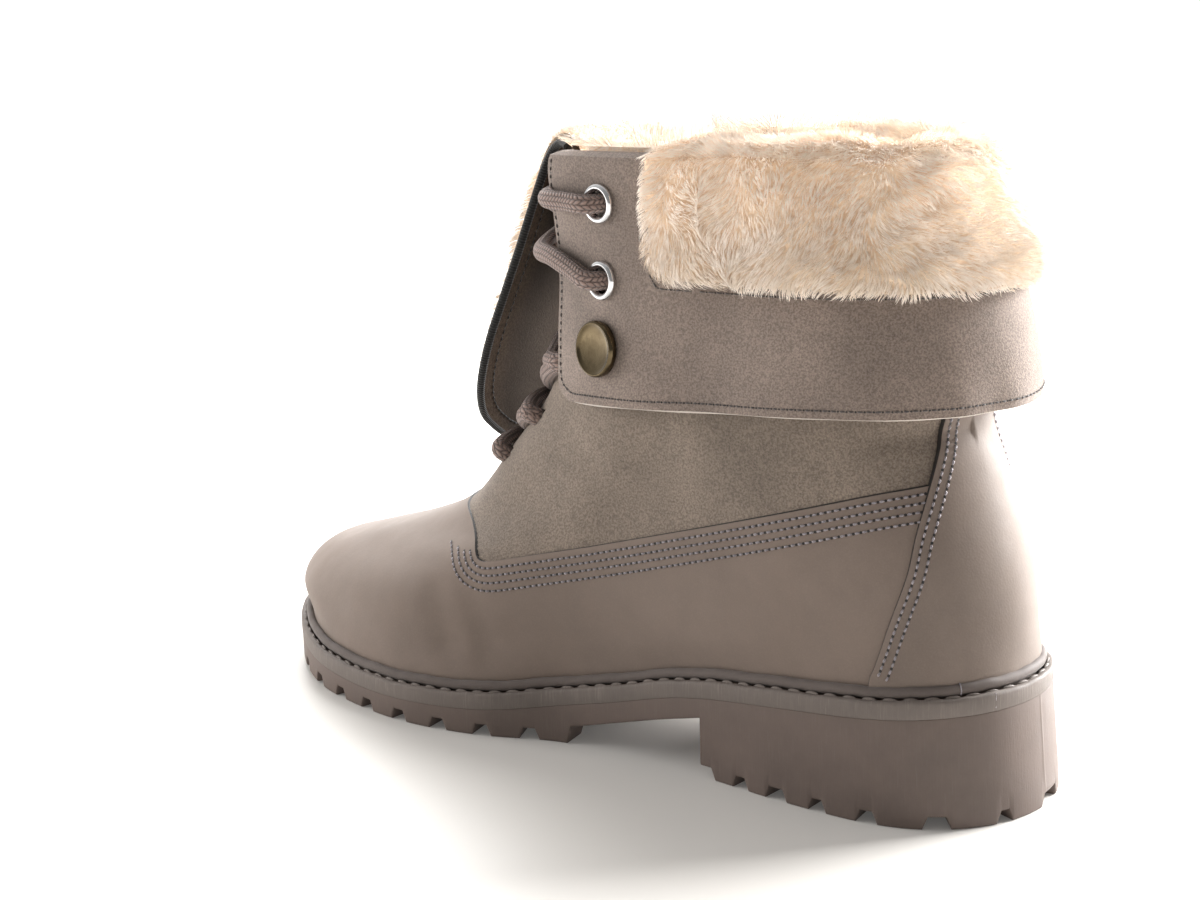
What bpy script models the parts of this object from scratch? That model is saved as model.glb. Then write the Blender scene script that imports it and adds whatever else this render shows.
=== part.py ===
"""Lace-up ankle boot for the left foot, with a fur-faced cuff and a folded tongue.

Sizes are in millimetres, measured from the back of the sole (x forward to the toe,
y to the boot's outer side, z up from the ground); every object is placed so that the
middle of the sole stands on the origin.
"""
import math

import bpy
import bmesh
from mathutils import Vector

MM = 0.001
GAP = 0.3
SEAT = 0.5
SOLE_LENGTH = 276.0
HEEL_FLARE = 2.2
# how far the middle of the sole's outline lies from the heel's own middle, towards the outer side
OUTLINE_MIDDLE = 1.6545
SOLE_PLACE = Vector((-0.5 * (SOLE_LENGTH - HEEL_FLARE) * MM, -OUTLINE_MIDDLE * MM, 0.0))

# ---------------------------------------------------------------- sole sizes
TOE_APEX = (276.0, -9.0)
HEEL_APEX = (0.0, -1.0)
# x, outer half width, inner half width
SOLE_PLAN = (
    (2.5, 12.5, -13.5),
    (9.0, 23.0, -23.5),
    (19.0, 31.0, -30.0),
    (32.0, 35.4, -33.4),
    (56.0, 36.8, -33.8),
    (82.0, 35.6, -31.6),
    (107.0, 35.2, -31.0),
    (133.0, 38.2, -33.8),
    (158.0, 48.2, -39.6),
    (183.0, 52.6, -46.0),
    (208.0, 50.2, -49.3),
    (232.0, 43.2, -46.6),
    (252.0, 30.6, -38.8),
    (266.0, 15.2, -27.5),
)
# x, top of the welt band
BAND_TOP = ((0, 35.6), (25, 33.7), (60, 30.9), (90, 26.9), (120, 19.2), (150, 13.7),
            (180, 12.2), (210, 12.0), (240, 13.8), (276, 18.6))
# x, lift of the tread off the ground towards the toe
TOE_SPRING = ((0, 0), (150, 0), (210, 0), (227, 0.1), (245, 1.1), (262, 2.8), (276, 5.0))
# x, underside between the heel breast and the forefoot tread
ARCH = ((84, 17.2), (98, 13.6), (114, 9.2), (128, 5.6), (138, 3.4))
BAND_HEIGHT = 5.0
LUG_HEIGHT = 3.4
LUG_DEPTH = 10.0
BREAST_X = 84.0
FEATHER_INSET = 4.9
# inward distance from the sole edge, height above the sole's top
WELT_PROFILE = ((0.5, 0.5), (0.0, 1.0), (0.0, 4.4), (0.5, 5.0), (1.8, 5.2), (2.3, 7.2), (3.1, 7.9),
                (4.0, 7.0), (4.2, 0.5))
# distance along the edge from the heel's middle notch, length of the heel lug there
HEEL_LUGS = ((10.8, 11.5), (27.9, 12.2), (47.2, 11.5), (63.2, 8.4), (76.2, 6.5), (89.2, 5.6), (100.5, 6.0))
# how far the middle notch lies from the back's apex, towards the inner side
HEEL_NOTCH = 3.5
HEEL_LUG_DRAFT = 3.6
FORE_LUG_START = 131.0
FORE_LUGS = 23
# share of the pitch a forefoot lug fills at the ground and at its root
LUG_SHARES = (0.58, 0.82)
# heel centre bars and forefoot chevrons: x of the middle, half width
CENTRE_BARS = ((20.0, 12.0), (41.0, 15.0), (62.0, 15.0), (146.0, 17.0), (164.0, 22.0), (182.0, 26.0),
               (200.0, 28.0), (218.0, 26.0), (236.0, 20.0))
BAR_LENGTH = 8.0
CHEVRON = 4.0

# --------------------------------------------------------------- upper sizes
WALL = 2.4
# inset from the sole's edge, height above the sole's top, of the two lowest levels
FOOT_LEVELS = ((FEATHER_INSET, SEAT), (4.7, 8.3))
# back x, back z, front x, front z, front y, follow of the sole's line, throat half width
UPPER_LEVELS = (
    (5.0, 48.0, 272.0, 27.0, -8.5, 0.75, 21.0),
    (6.0, 59.0, 266.5, 34.5, -7.5, 0.50, 20.0),
    (8.0, 69.0, 244.0, 42.4, -4.5, 0.22, 17.0),
    (11.5, 80.0, 214.5, 51.5, -1.5, 0.08, 14.0),
    (15.0, 90.0, 193.0, 61.0, 0.0, 0.0, 12.5),
    (18.5, 100.0, 174.4, 79.0, 0.0, 0.0, 15.0),
    (20.5, 116.0, 157.4, 100.5, 0.0, 0.0, 24.0),
    (21.0, 140.0, 148.4, 134.0, 0.0, 0.0, 38.0),
    (21.0, 169.0, 145.5, 169.0, 0.0, 0.0, 39.0),
)
# share of the way from back to front
SHARES = (0.05, 0.20, 0.45, 0.70, 0.90, 0.97)
# outer half widths at those shares, one row a level
OUTER_WIDTHS = (
    (25.0, 33.0, 33.0, 46.2, 31.0, 15.0),
    (25.2, 33.4, 34.4, 44.6, 28.0, 14.0),
    (24.4, 33.0, 34.6, 39.4, 23.4, 12.0),
    (22.0, 32.0, 34.2, 34.8, 22.0, 11.6),
    (19.8, 30.8, 33.6, 32.8, 23.6, 13.4),
    (18.6, 30.2, 33.8, 32.8, 24.4, 14.6),
    (18.2, 30.4, 34.6, 33.4, 23.0, 13.2),
    (18.2, 31.4, 36.2, 35.4, 26.2, 15.6),
    (18.4, 32.2, 37.4, 38.2, 32.4, 20.8),
)
INNER_WIDTHS = (
    (24.8, 30.6, 28.6, 43.2, 38.0, 27.0),
    (24.8, 31.4, 30.4, 42.0, 34.0, 24.5),
    (24.0, 31.4, 31.8, 38.0, 26.5, 16.0),
    (21.8, 30.8, 32.2, 34.2, 22.4, 12.0),
    (19.8, 30.2, 32.6, 32.4, 23.4, 13.2),
    (18.6, 29.8, 33.0, 32.4, 24.2, 14.4),
    (18.2, 30.2, 34.0, 33.0, 22.8, 13.0),
    (18.2, 31.2, 35.8, 35.0, 26.0, 15.4),
    (18.4, 32.0, 37.0, 37.8, 32.2, 20.6),
)
ROWS_A_LEVEL = 2
DENSE = 48
HALF_COLUMNS = 18
THROAT_COLUMNS = 2
THROAT_ROW = 11
RIM_Z = 169.0

# ------------------------------------------------------ counter, cuff, fur
COUNTER_SKIN = 1.2
COUNTER_CLEAR = 0.35
# row of the upper, half width along the back
COUNTER_ROWS = ((1, 46.4), (2, 44.6), (4, 40.6), (6, 35.6), (8, 30.2), (10, 23.8), (12, 17.4), (13, 14.6),
                (14, 12.6))
COUNTER_STEPS = 6
CUFF_SKIN = 2.0
# z at the front, z at the back, stand-off at the front, side and back, front edge along the loop
CUFF_ROWS = (
    (101.0, 107.5, 3.0, 6.6, 14.6, 51.0),
    (105.0, 112.5, 2.9, 6.2, 14.9, 43.5),
    (119.0, 123.0, 2.5, 4.8, 13.8, 38.5),
    (136.0, 137.0, 2.1, 3.4, 10.4, 37.0),
    (152.0, 152.0, 1.8, 2.3, 6.2, 36.5),
    (166.0, 166.0, 1.7, 1.7, 2.6, 37.5),
    (170.2, 170.2, 1.5, 1.45, 1.75, 39.0),
)
CUFF_HOOK = ((171.3, -0.6), (171.3, -2.0))
CUFF_HALF_COLUMNS = 12
FUR_START = 93.0
FUR_HALF_COLUMNS = 9
# z at the side, z at the back, outward at the side, outward at the back, from the cuff's middle surface
FUR_OUTER = ((140.0, 139.5, 2.6, 2.8), (138.5, 137.0, 6.0, 4.5), (143.0, 142.5, 9.0, 8.5),
             (153.0, 151.0, 9.2, 8.0), (164.0, 160.5, 8.5, 6.0), (172.6, 169.6, 5.5, 3.0))
# the same four, outward from the rim line
FUR_OVER = ((176.6, 175.2, 0.5, -2.4), (175.8, 174.6, -6.5, -6.8), (170.0, 168.5, -10.0, -9.0),
            (155.0, 155.0, -8.5, -8.0), (153.0, 153.0, -5.5, -5.5), (155.0, 155.0, -3.8, -3.4),
            (173.4, 173.4, -2.95, -2.95), (173.4, 173.4, 3.4, 3.4))
FUR_BACKING = (166.0, 152.0)

# ------------------------------------------------------------ tongue, flap
TONGUE_SKIN = 2.6
TONGUE_SINK = 4.3
# row of the upper, further sink of the tongue's middle
TONGUE_ROWS = ((10, 0.0), (11, 0.2), (12, 0.5), (13, 1.0), (14, 1.6), (15, 2.6), (16, 4.6), (17, 6.0), (18, 7.0))
TONGUE_OVERLAP = 5.0
TONGUE_HALF_COLUMNS = 3
# x, z, half width, backward bow of the edges
FLAP = (
    (137.2, 162.5, 27.5, 6.0),
    (137.6, 168.5, 25.0, 5.0),
    (139.6, 172.2, 23.0, 3.5),
    (143.6, 173.6, 20.5, 2.0),
    (147.4, 171.8, 20.8, 1.4),
    (149.6, 167.2, 22.8, 1.2),
    (152.4, 157.5, 25.4, 1.0),
    (157.3, 142.0, 28.2, 1.0),
    (162.6, 127.5, 27.9, 1.0),
    (167.8, 114.0, 26.6, 1.0),
    (173.3, 100.0, 24.0, 1.0),
    (176.8, 91.0, 18.4, 0.8),
    (179.4, 84.2, 9.6, 0.4),
    (180.6, 81.0, 3.5, 0.1),
)
FLAP_FUR = 4.5
# row of the flap, share of the full fur
FLAP_FUR_ROWS = ((1, 0.5), (2, 0.6), (3, 0.7), (4, 0.8), (5, 1.0), (6, 1.0), (8, 1.0), (9, 1.0), (10, 1.0),
                 (11, 1.0), (12, 0.8), (13, 0.6))

# ---------------------------------------------------------------- hardware
# name, side, x, z
EYELET_SITES = (
    ("eyelet_lat_upper", 1, 111.0, 158.6),
    ("eyelet_lat_lower", 1, 111.0, 137.8),
    ("eyelet_med_upper", -1, 111.0, 158.6),
    ("eyelet_med_lower", -1, 111.0, 137.8),
)
SNAP_SITES = (("snap_lat", 1, 112.3, 119.0), ("snap_med", -1, 112.3, 119.0))
# radius, height above the cuff's face
EYELET_PROFILE = ((3.0, -2.2), (3.5, -2.2), (3.5, 0.4), (5.1, 0.4), (5.4, 0.9), (4.3, 1.6), (3.2, 1.3))
EYELET_SIDES = 12
SNAP_PROFILE = ((0.0, 0.45), (6.9, 0.45), (7.7, 1.0), (7.6, 1.8), (6.0, 2.8), (3.0, 3.3), (0.0, 3.4))
SNAP_SIDES = 16
CUFF_HOLE = 3.9
LACE_HOLE = 2.9
LACE_RADIUS = 2.7
LACE_LIFT = 3.5
# share of the way across the front, lift, of a crossing; lifts in the middle of each pair
LACE_SAG = ((0.0, 3.4), (0.15, 3.3), (0.30, 1.9))
LACE_MIDDLES = (-0.2, 2.0)
# how much nearer a strand lies at the middle of its crossing
LACE_SIDES = 5
# row of the upper, distance of the hole from the throat's edge
LACE_HOLES = ((12.9, 6.0), (14.2, 6.0), (15.6, 4.2))
# x, z of the stretch of a lace that lies on the cuff, for an upper eyelet and for a lower one
LACE_ON_CUFF = (((120.5, 159.4), (130.6, 159.8)), ((120.5, 141.0), (130.2, 145.0)))
# distance across from the middle, x, z of the same laces past the cuff's edge
LACE_TOP = ((31.8, 141.0, 160.1), (15.0, 143.8, 160.4), (0.0, 145.4, 160.6))
LACE_LOW = ((30.4, 140.2, 148.0), (15.0, 144.2, 150.2), (0.0, 145.4, 151.6), (-15.0, 143.2, 154.0),
            (-27.6, 139.6, 158.0))
LACE_INNER = ((23.0, 136.4, 138.0), (28.2, 138.4, 146.0))
LACE_RISE = -1.0


def curve_through(points, steps, closed=False):
    """Points along a smooth curve through the given points."""
    count = len(points)
    spans = count if closed else count - 1
    out = []
    for i in range(spans):
        p1 = points[i]
        p2 = points[(i + 1) % count]
        p0 = points[i - 1] if closed or i > 0 else p1 * 2 - p2
        p3 = points[(i + 2) % count] if closed or i + 2 < count else p2 * 2 - p1
        d0 = max((p1 - p0).length, 1e-6) ** 0.5
        d1 = max((p2 - p1).length, 1e-6) ** 0.5
        d2 = max((p3 - p2).length, 1e-6) ** 0.5
        m1 = ((p1 - p0) / d0 - (p2 - p0) / (d0 + d1) + (p2 - p1) / d1) * d1
        m2 = ((p2 - p1) / d1 - (p3 - p1) / (d1 + d2) + (p3 - p2) / d2) * d1
        for step in range(steps):
            t = step / steps
            out.append(p1 * (2 * t ** 3 - 3 * t ** 2 + 1) + m1 * (t ** 3 - 2 * t ** 2 + t)
                       + p2 * (3 * t ** 2 - 2 * t ** 3) + m2 * (t ** 3 - t ** 2))
    if not closed:
        out.append(points[-1].copy())
    return out


def at_length(points, distance):
    """Point at a distance along a polyline, held at its ends."""
    left = max(distance, 0.0)
    for a, b in zip(points, points[1:]):
        span = (b - a).length
        if left <= span and span > 0:
            return a.lerp(b, left / span)
        left -= span
    return points[-1].copy()


def length_of(points):
    return sum((b - a).length for a, b in zip(points, points[1:]))


def resample(points, shares):
    total = length_of(points)
    return [at_length(points, total * share) for share in shares]


def table_curve(rows):
    """Dense curve through the two columns of a table."""
    return curve_through([Vector((row[0], row[1])) for row in rows], 8)


def value_at(curve, x):
    """Second column of a dense curve at x, held at its ends."""
    if x <= curve[0].x:
        return curve[0].y
    for a, b in zip(curve, curve[1:]):
        if x <= b.x:
            return a.y + (b.y - a.y) * (x - a.x) / max(b.x - a.x, 1e-9)
    return curve[-1].y


def end_dense(count):
    """Shares from 0 to 1, closer together at both ends."""
    return [i / count - 0.42 * math.sin(2 * math.pi * i / count) / (2 * math.pi) for i in range(count + 1)]


BAND_TOP_CURVE = table_curve(BAND_TOP)
SPRING_CURVE = table_curve(TOE_SPRING)
ARCH_CURVE = table_curve(ARCH)


def sole_top(x):
    return value_at(BAND_TOP_CURVE, x) - BAND_HEIGHT


def spring_at(x):
    return max(value_at(SPRING_CURVE, x), 0.0)


def plan_halves():
    """Outer and inner halves of the sole's edge, each from the toe to the heel."""
    outer = [Vector((x, y)) for x, y, _ in reversed(SOLE_PLAN)]
    inner = [Vector((x, y)) for x, _, y in SOLE_PLAN]
    loop = curve_through([Vector(TOE_APEX)] + outer + [Vector(HEEL_APEX)] + inner, 10, closed=True)
    middle = 10 * (len(outer) + 1)
    return loop[:middle + 1], [loop[0]] + loop[:middle - 1:-1]


def plan_loop(half_count):
    """Closed edge of the sole, from the toe round the outer side."""
    outer, inner = plan_halves()
    shares = end_dense(half_count)
    return resample(outer, shares)[:-1] + resample(inner, shares)[:0:-1]


def inset_loop(loop, distance):
    """Closed plan loop moved inward."""
    out = []
    for i, point in enumerate(loop):
        along = (loop[(i + 1) % len(loop)] - loop[i - 1]).normalized()
        out.append(point + Vector((-along.y, along.x)) * distance)
    return out


def outward(points, i, side):
    """Plan normal of an open loop half, away from the shaft."""
    a = points[max(i - 1, 0)]
    b = points[min(i + 1, len(points) - 1)]
    along = Vector((b.x - a.x, b.y - a.y)).normalized()
    return Vector((along.y, -along.x, 0.0)) * side


def new_object(name, bm, material, place=SOLE_PLACE):
    """Object from a bmesh in millimetres, cleaned and faced outward."""
    bmesh.ops.remove_doubles(bm, verts=bm.verts, dist=1e-4)
    bmesh.ops.dissolve_degenerate(bm, edges=bm.edges, dist=1e-5)
    bmesh.ops.triangulate(bm, faces=bm.faces)
    bmesh.ops.recalc_face_normals(bm, faces=bm.faces)
    bmesh.ops.scale(bm, vec=(MM, MM, MM), verts=bm.verts)
    mesh = bpy.data.meshes.new(name)
    bm.to_mesh(mesh)
    bm.free()
    obj = bpy.data.objects.new(name, mesh)
    bpy.context.scene.collection.objects.link(obj)
    obj.location = place
    if material:
        obj.data.materials.append(material)
    return obj


def finish_material(name, colour, roughness, metallic=0.0):
    material = bpy.data.materials.new(name)
    material.use_nodes = True
    shader = material.node_tree.nodes["Principled BSDF"]
    shader.inputs["Base Color"].default_value = (*colour, 1.0)
    shader.inputs["Roughness"].default_value = roughness
    shader.inputs["Metallic"].default_value = metallic
    return material


def combine(target, tools, operation, crossed=False):
    """Apply one boolean of the target with a list of tools, whose own blocks may cross, and drop the tools."""
    for tool in tools:
        modifier = target.modifiers.new("cut", "BOOLEAN")
        modifier.operation = operation
        modifier.solver = "EXACT"
        modifier.use_self = crossed
        modifier.object = tool
    graph = bpy.context.evaluated_depsgraph_get()
    mesh = bpy.data.meshes.new_from_object(target.evaluated_get(graph))
    target.modifiers.clear()
    old = target.data
    target.data = mesh
    bpy.data.meshes.remove(old)
    mesh.name = target.name
    for tool in tools:
        bpy.data.objects.remove(tool, do_unlink=True)
    return target


def add_ring_faces(bm, rings, wrap_rings=False):
    """Quads between neighbouring closed rings of vertices."""
    pairs = list(zip(rings, rings[1:]))
    if wrap_rings:
        pairs.append((rings[-1], rings[0]))
    for low, high in pairs:
        for i in range(len(low)):
            j = (i + 1) % len(low)
            bm.faces.new((low[i], low[j], high[j], high[i]))


def sheet_solid(name, rows, material, inner, outer, wrap=False, skip=None):
    """Solid made by thickening a grid of points both ways along its normals."""
    count = len(rows[0])
    index = lambda r, c: r * count + c % count
    quads = []
    for r in range(len(rows) - 1):
        for c in range(count if wrap else count - 1):
            if skip is None or not skip(r, c):
                quads.append((index(r, c), index(r, c + 1), index(r + 1, c + 1), index(r + 1, c)))
    points = [p for row in rows for p in row]
    normals = [Vector() for _ in points]
    for quad in quads:
        a, b, c, d = (points[k] for k in quad)
        face = (c - a).cross(d - b)
        for k in quad:
            normals[k] += face
    bm = bmesh.new()
    front = {}
    back = {}
    for k in sorted({k for quad in quads for k in quad}):
        normal = normals[k].normalized()
        front[k] = bm.verts.new(points[k] + normal * outer)
        back[k] = bm.verts.new(points[k] - normal * inner)
    directed = {(quad[i], quad[(i + 1) % 4]) for quad in quads for i in range(4)}
    for quad in quads:
        bm.faces.new([front[k] for k in quad])
        bm.faces.new([back[k] for k in reversed(quad)])
    for a, b in directed:
        if (b, a) not in directed:
            bm.faces.new((front[b], front[a], back[a], back[b]))
    return new_object(name, bm, material)


# --------------------------------------------------------------------- sole
def sole_stations():
    """Positions along the sole, closer together at the heel and the toe."""
    rear = [BREAST_X * (1 - math.cos(0.5 * math.pi * i / 8)) for i in range(9)]
    reach = SOLE_LENGTH - BREAST_X
    front = [BREAST_X + reach * math.sin(0.5 * math.pi * i / 15) for i in range(16)]
    return rear, front


def side_at(half, x):
    """Edge point of a sole half at x."""
    for a, b in zip(half, half[1:]):
        if b.x <= x <= a.x:
            return a.lerp(b, (a.x - x) / max(a.x - b.x, 1e-9))
    return half[0].copy() if x > half[0].x else half[-1].copy()


def heel_flare(x):
    """Backward spread of the heel block at the ground."""
    return HEEL_FLARE * max(1.0 - x / BREAST_X, 0.0)


def underside(x, rear):
    if rear:
        return LUG_HEIGHT
    if x < ARCH[-1][0]:
        return value_at(ARCH_CURVE, x)
    return LUG_HEIGHT + spring_at(x)


def make_outsole(material):
    outer, inner = plan_halves()
    rear, front = sole_stations()
    bm = bmesh.new()
    rings = []
    for x, is_rear in [(x, True) for x in rear] + [(x, False) for x in front]:
        a = side_at(outer, x)
        b = side_at(inner, x)
        top = sole_top(x)
        low = underside(x, is_rear)
        flare = heel_flare(x)
        ring = []
        for share in (0.0, 0.5, 1.0):
            p = a.lerp(b, share)
            ring.append(bm.verts.new((p.x, p.y, top)))
        for share in (1.0, 0.5, 0.0):
            p = a.lerp(b, share)
            ring.append(bm.verts.new((p.x - flare, p.y * (1 + 0.02 * flare), low)))
        rings.append(ring)
    add_ring_faces(bm, rings)
    for ring in (rings[0], rings[-1]):
        bm.faces.new(ring)
    body = new_object("outsole", bm, material)
    return combine(body, [make_lugs()], "UNION", crossed=True)


def add_prism(bm, low, high):
    """Closed block between two matching outlines."""
    a = [bm.verts.new(p) for p in low]
    b = [bm.verts.new(p) for p in high]
    add_ring_faces(bm, [a, b])
    bm.faces.new(a[::-1])
    bm.faces.new(b)


def edge_run(half, x):
    """Length along a sole half at which it passes x."""
    run = 0.0
    for a, b in zip(half, half[1:]):
        if a.x >= x >= b.x:
            return run + (b - a).length * (a.x - x) / max(a.x - b.x, 1e-9)
        run += (b - a).length
    return run


def add_edge_lug(bm, path, middle, bottom, top):
    """Block on the sole's edge path round a length, from its length at the ground to that at its root."""
    rings = []
    for wide, depth, lift in ((bottom, LUG_DEPTH - 1.0, 0.0), (top, LUG_DEPTH, LUG_HEIGHT + 1.0)):
        run = [at_length(path, middle + wide * k) for k in (-0.5, 0.5)]
        along = (run[1] - run[0]).normalized()
        inward = Vector((-along.y, along.x))
        edge = [p + inward * 0.2 for p in run]
        ring = []
        for p in edge + [edge[1] + inward * depth, edge[0] + inward * depth]:
            flare = heel_flare(p.x)
            ring.append(Vector((p.x - flare, p.y * (1 + 0.02 * flare), spring_at(p.x) + lift)))
        rings.append(ring)
    add_prism(bm, rings[0], rings[1])


def make_lugs():
    """All tread blocks as one mesh of separate closed blocks, buried one millimetre in the sole."""
    outer, inner = plan_halves()
    loop = outer + inner[-2::-1]
    heel = length_of(outer)
    bm = bmesh.new()
    for distance, wide in HEEL_LUGS:
        for middle in (heel + HEEL_NOTCH - distance, heel + HEEL_NOTCH + distance):
            if max(at_length(loop, middle + 0.6 * wide * k).x for k in (-1, 1)) < BREAST_X:
                add_edge_lug(bm, loop, middle, wide, wide + HEEL_LUG_DRAFT)
    around = loop[-1 - len(inner) + 1:-1] + outer
    start = length_of(inner) - edge_run(inner, FORE_LUG_START)
    end = length_of(inner) + edge_run(outer, FORE_LUG_START)
    pitch = (end - start) / (FORE_LUGS - 1 + LUG_SHARES[0])
    for n in range(FORE_LUGS):
        middle = start + pitch * (n + 0.5 * LUG_SHARES[0])
        add_edge_lug(bm, around, middle, pitch * LUG_SHARES[0], pitch * LUG_SHARES[1])
    for x, half in CENTRE_BARS:
        low = []
        high = []
        for ring, grow, lift in ((low, 0.0, 0.0), (high, 1.0, LUG_HEIGHT + 1.0)):
            wide = half + grow
            long = 0.5 * BAR_LENGTH + grow
            for dx, dy in ((-long, -wide), (CHEVRON - long, 0.0), (-long, wide),
                           (long, wide), (CHEVRON + long, 0.0), (long, -wide)):
                ring.append(Vector((x + dx, dy, spring_at(x + dx) + lift)))
        add_prism(bm, low[::-1], high[::-1])
    return new_object("lugs", bm, None)


def make_welt(material):
    loop = plan_loop(22)
    bm = bmesh.new()
    rings = []
    for inward, height in WELT_PROFILE:
        ring = []
        for edge, p in zip(loop, inset_loop(loop, inward)):
            ring.append(bm.verts.new((p.x, p.y, sole_top(edge.x) + height)))
        rings.append(ring)
    add_ring_faces(bm, rings, wrap_rings=True)
    return new_object("welt", bm, material)


def make_insole(material, feather):
    """Board whose edge follows the upper's lower edge."""
    half = len(feather) // 2
    loop = inset_loop([Vector((p.x, p.y)) for p in feather], WALL + 0.7)
    bm = bmesh.new()
    rings = []
    for i in range(half + 1):
        a = loop[i]
        b = loop[-i % len(loop)]
        ring = []
        for share, height in ((0, 3.4), (0.5, 3.4), (1, 3.4), (1, SEAT), (0.5, SEAT), (0, SEAT)):
            p = a.lerp(b, share)
            ring.append(bm.verts.new((p.x, p.y, sole_top(p.x) + height)))
        rings.append(ring)
    add_ring_faces(bm, rings)
    return new_object("insole", bm, material)


# -------------------------------------------------------------------- upper
def foot_halves(inset, height):
    """Outer and inner dense halves of a level that follows the sole's edge, front to back."""
    loop = plan_loop(DENSE)
    moved = [Vector((p.x, p.y, sole_top(edge.x) + height)) for edge, p in zip(loop, inset_loop(loop, inset))]
    return [moved[:DENSE + 1], [moved[0]] + moved[:DENSE - 1:-1]]


def level_halves(level, outer_widths, inner_widths):
    """Outer and inner dense halves of one level of the upper, front to back."""
    back_x, back_z, front_x, front_z, front_y, follow, _ = level
    controls = [Vector((front_x, front_y))]
    for share, width in reversed(list(zip(SHARES, outer_widths))):
        controls.append(Vector((back_x + share * (front_x - back_x), width)))
    controls.append(Vector((back_x, HEEL_APEX[1] * follow)))
    for share, width in zip(SHARES, inner_widths):
        controls.append(Vector((back_x + share * (front_x - back_x), -width)))
    loop = curve_through(controls, 10, closed=True)
    middle = 10 * (len(SHARES) + 1)
    halves = []
    for half in (loop[:middle + 1], [loop[0]] + loop[:middle - 1:-1]):
        points = []
        for p in resample(half, end_dense(DENSE)):
            t = (p.x - back_x) / (front_x - back_x)
            line = back_z + (front_z - back_z) * t
            base = sole_top(back_x) + (sole_top(front_x) - sole_top(back_x)) * t
            points.append(Vector((p.x, p.y, line + follow * (sole_top(p.x) - base))))
        halves.append(points)
    return halves


def upper_rows():
    """Every row of the closed boot surface as an outer and an inner half."""
    levels = [foot_halves(*level) for level in FOOT_LEVELS]
    levels += [level_halves(*data) for data in zip(UPPER_LEVELS, OUTER_WIDTHS, INNER_WIDTHS)]
    rows = [([], []) for _ in range((len(levels) - 2) * ROWS_A_LEVEL + 2)]
    for side in (0, 1):
        for column in range(DENSE + 1):
            meridian = curve_through([level[side][column] for level in levels], ROWS_A_LEVEL)
            for row, point in zip(rows, meridian[:1] + meridian[ROWS_A_LEVEL:]):
                row[side].append(point)
    return rows


ROWS = upper_rows()
THROAT_CURVE = table_curve([(3 + i * ROWS_A_LEVEL, level[6]) for i, level in enumerate(UPPER_LEVELS)])


def half_columns(points, first, shares):
    """Points of a row half: the throat's columns first, the rest spread to the back."""
    total = length_of(points)
    start = [first * k / THROAT_COLUMNS for k in range(THROAT_COLUMNS)]
    return [at_length(points, d) for d in start + [first + (total - first) * share for share in shares]]


def make_upper(material):
    count = HALF_COLUMNS - THROAT_COLUMNS
    shares = [i / count - 0.25 * math.sin(2 * math.pi * i / count) / (2 * math.pi) for i in range(count + 1)]
    grid = []
    for r, (outer, inner) in enumerate(ROWS):
        first = value_at(THROAT_CURVE, r)
        a = half_columns(outer, first, shares)
        b = half_columns(inner, first, shares)
        grid.append(a[:-1] + b[:0:-1])
    total = len(grid[0])

    def in_throat(r, c):
        return r >= THROAT_ROW and (c < THROAT_COLUMNS or c >= total - THROAT_COLUMNS)

    upper = sheet_solid("upper", grid, material, WALL, 0.0, wrap=True, skip=in_throat)
    cutters = []
    for row, beside in LACE_HOLES:
        for side in (1, -1):
            place, normal = surface(row, side * (value_at(THROAT_CURVE, row) + beside))
            cutters.append(make_peg(place, normal, LACE_HOLE, 5.0, 8))
    return combine(upper, cutters, "DIFFERENCE"), grid[0]


def surface(row, along):
    """Point and outward normal of the closed boot surface at a row and a signed length from the front."""
    side = 0 if along >= 0 else 1

    def point(r, s):
        low = min(int(r), len(ROWS) - 2)
        a = at_length(ROWS[low][side], abs(s))
        b = at_length(ROWS[low + 1][side], abs(s))
        return a.lerp(b, r - low)

    step = 0.5
    near = max(abs(along) - step, 0.0)
    across = point(row, abs(along) + step) - point(row, near)
    upward = point(min(row + 0.25, len(ROWS) - 1), along) - point(max(row - 0.25, 0), along)
    normal = across.cross(upward).normalized()
    if side:
        normal = -normal
    return point(row, along), normal


def make_peg(place, normal, radius, length, sides):
    """Cylinder centred on a place and lying along a normal, used as a cutter."""
    turn = normal.to_track_quat("Z", "Y").to_matrix()
    bm = bmesh.new()
    rings = []
    for end in (-0.5, 0.5):
        ring = []
        for k in range(sides):
            angle = 2 * math.pi * k / sides
            local = Vector((radius * math.cos(angle), radius * math.sin(angle), end * length))
            ring.append(bm.verts.new(place + turn @ local))
        rings.append(ring)
    add_ring_faces(bm, rings)
    bm.faces.new(rings[0][::-1])
    bm.faces.new(rings[1])
    return new_object("peg", bm, None)


def make_counter(material):
    """Panel round the back, just off the upper's own surface."""
    grid = []
    steps = COUNTER_STEPS
    for row, half in COUNTER_ROWS:
        outer, inner = ROWS[row]
        a = [at_length(outer, length_of(outer) - half * k / steps) for k in range(steps, 0, -1)]
        b = [at_length(inner, length_of(inner) - half * k / steps) for k in range(0, steps + 1)]
        grid.append(a + b)
    off = GAP + COUNTER_CLEAR
    return sheet_solid("heel_counter", grid, material, -off, off + COUNTER_SKIN)


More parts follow.
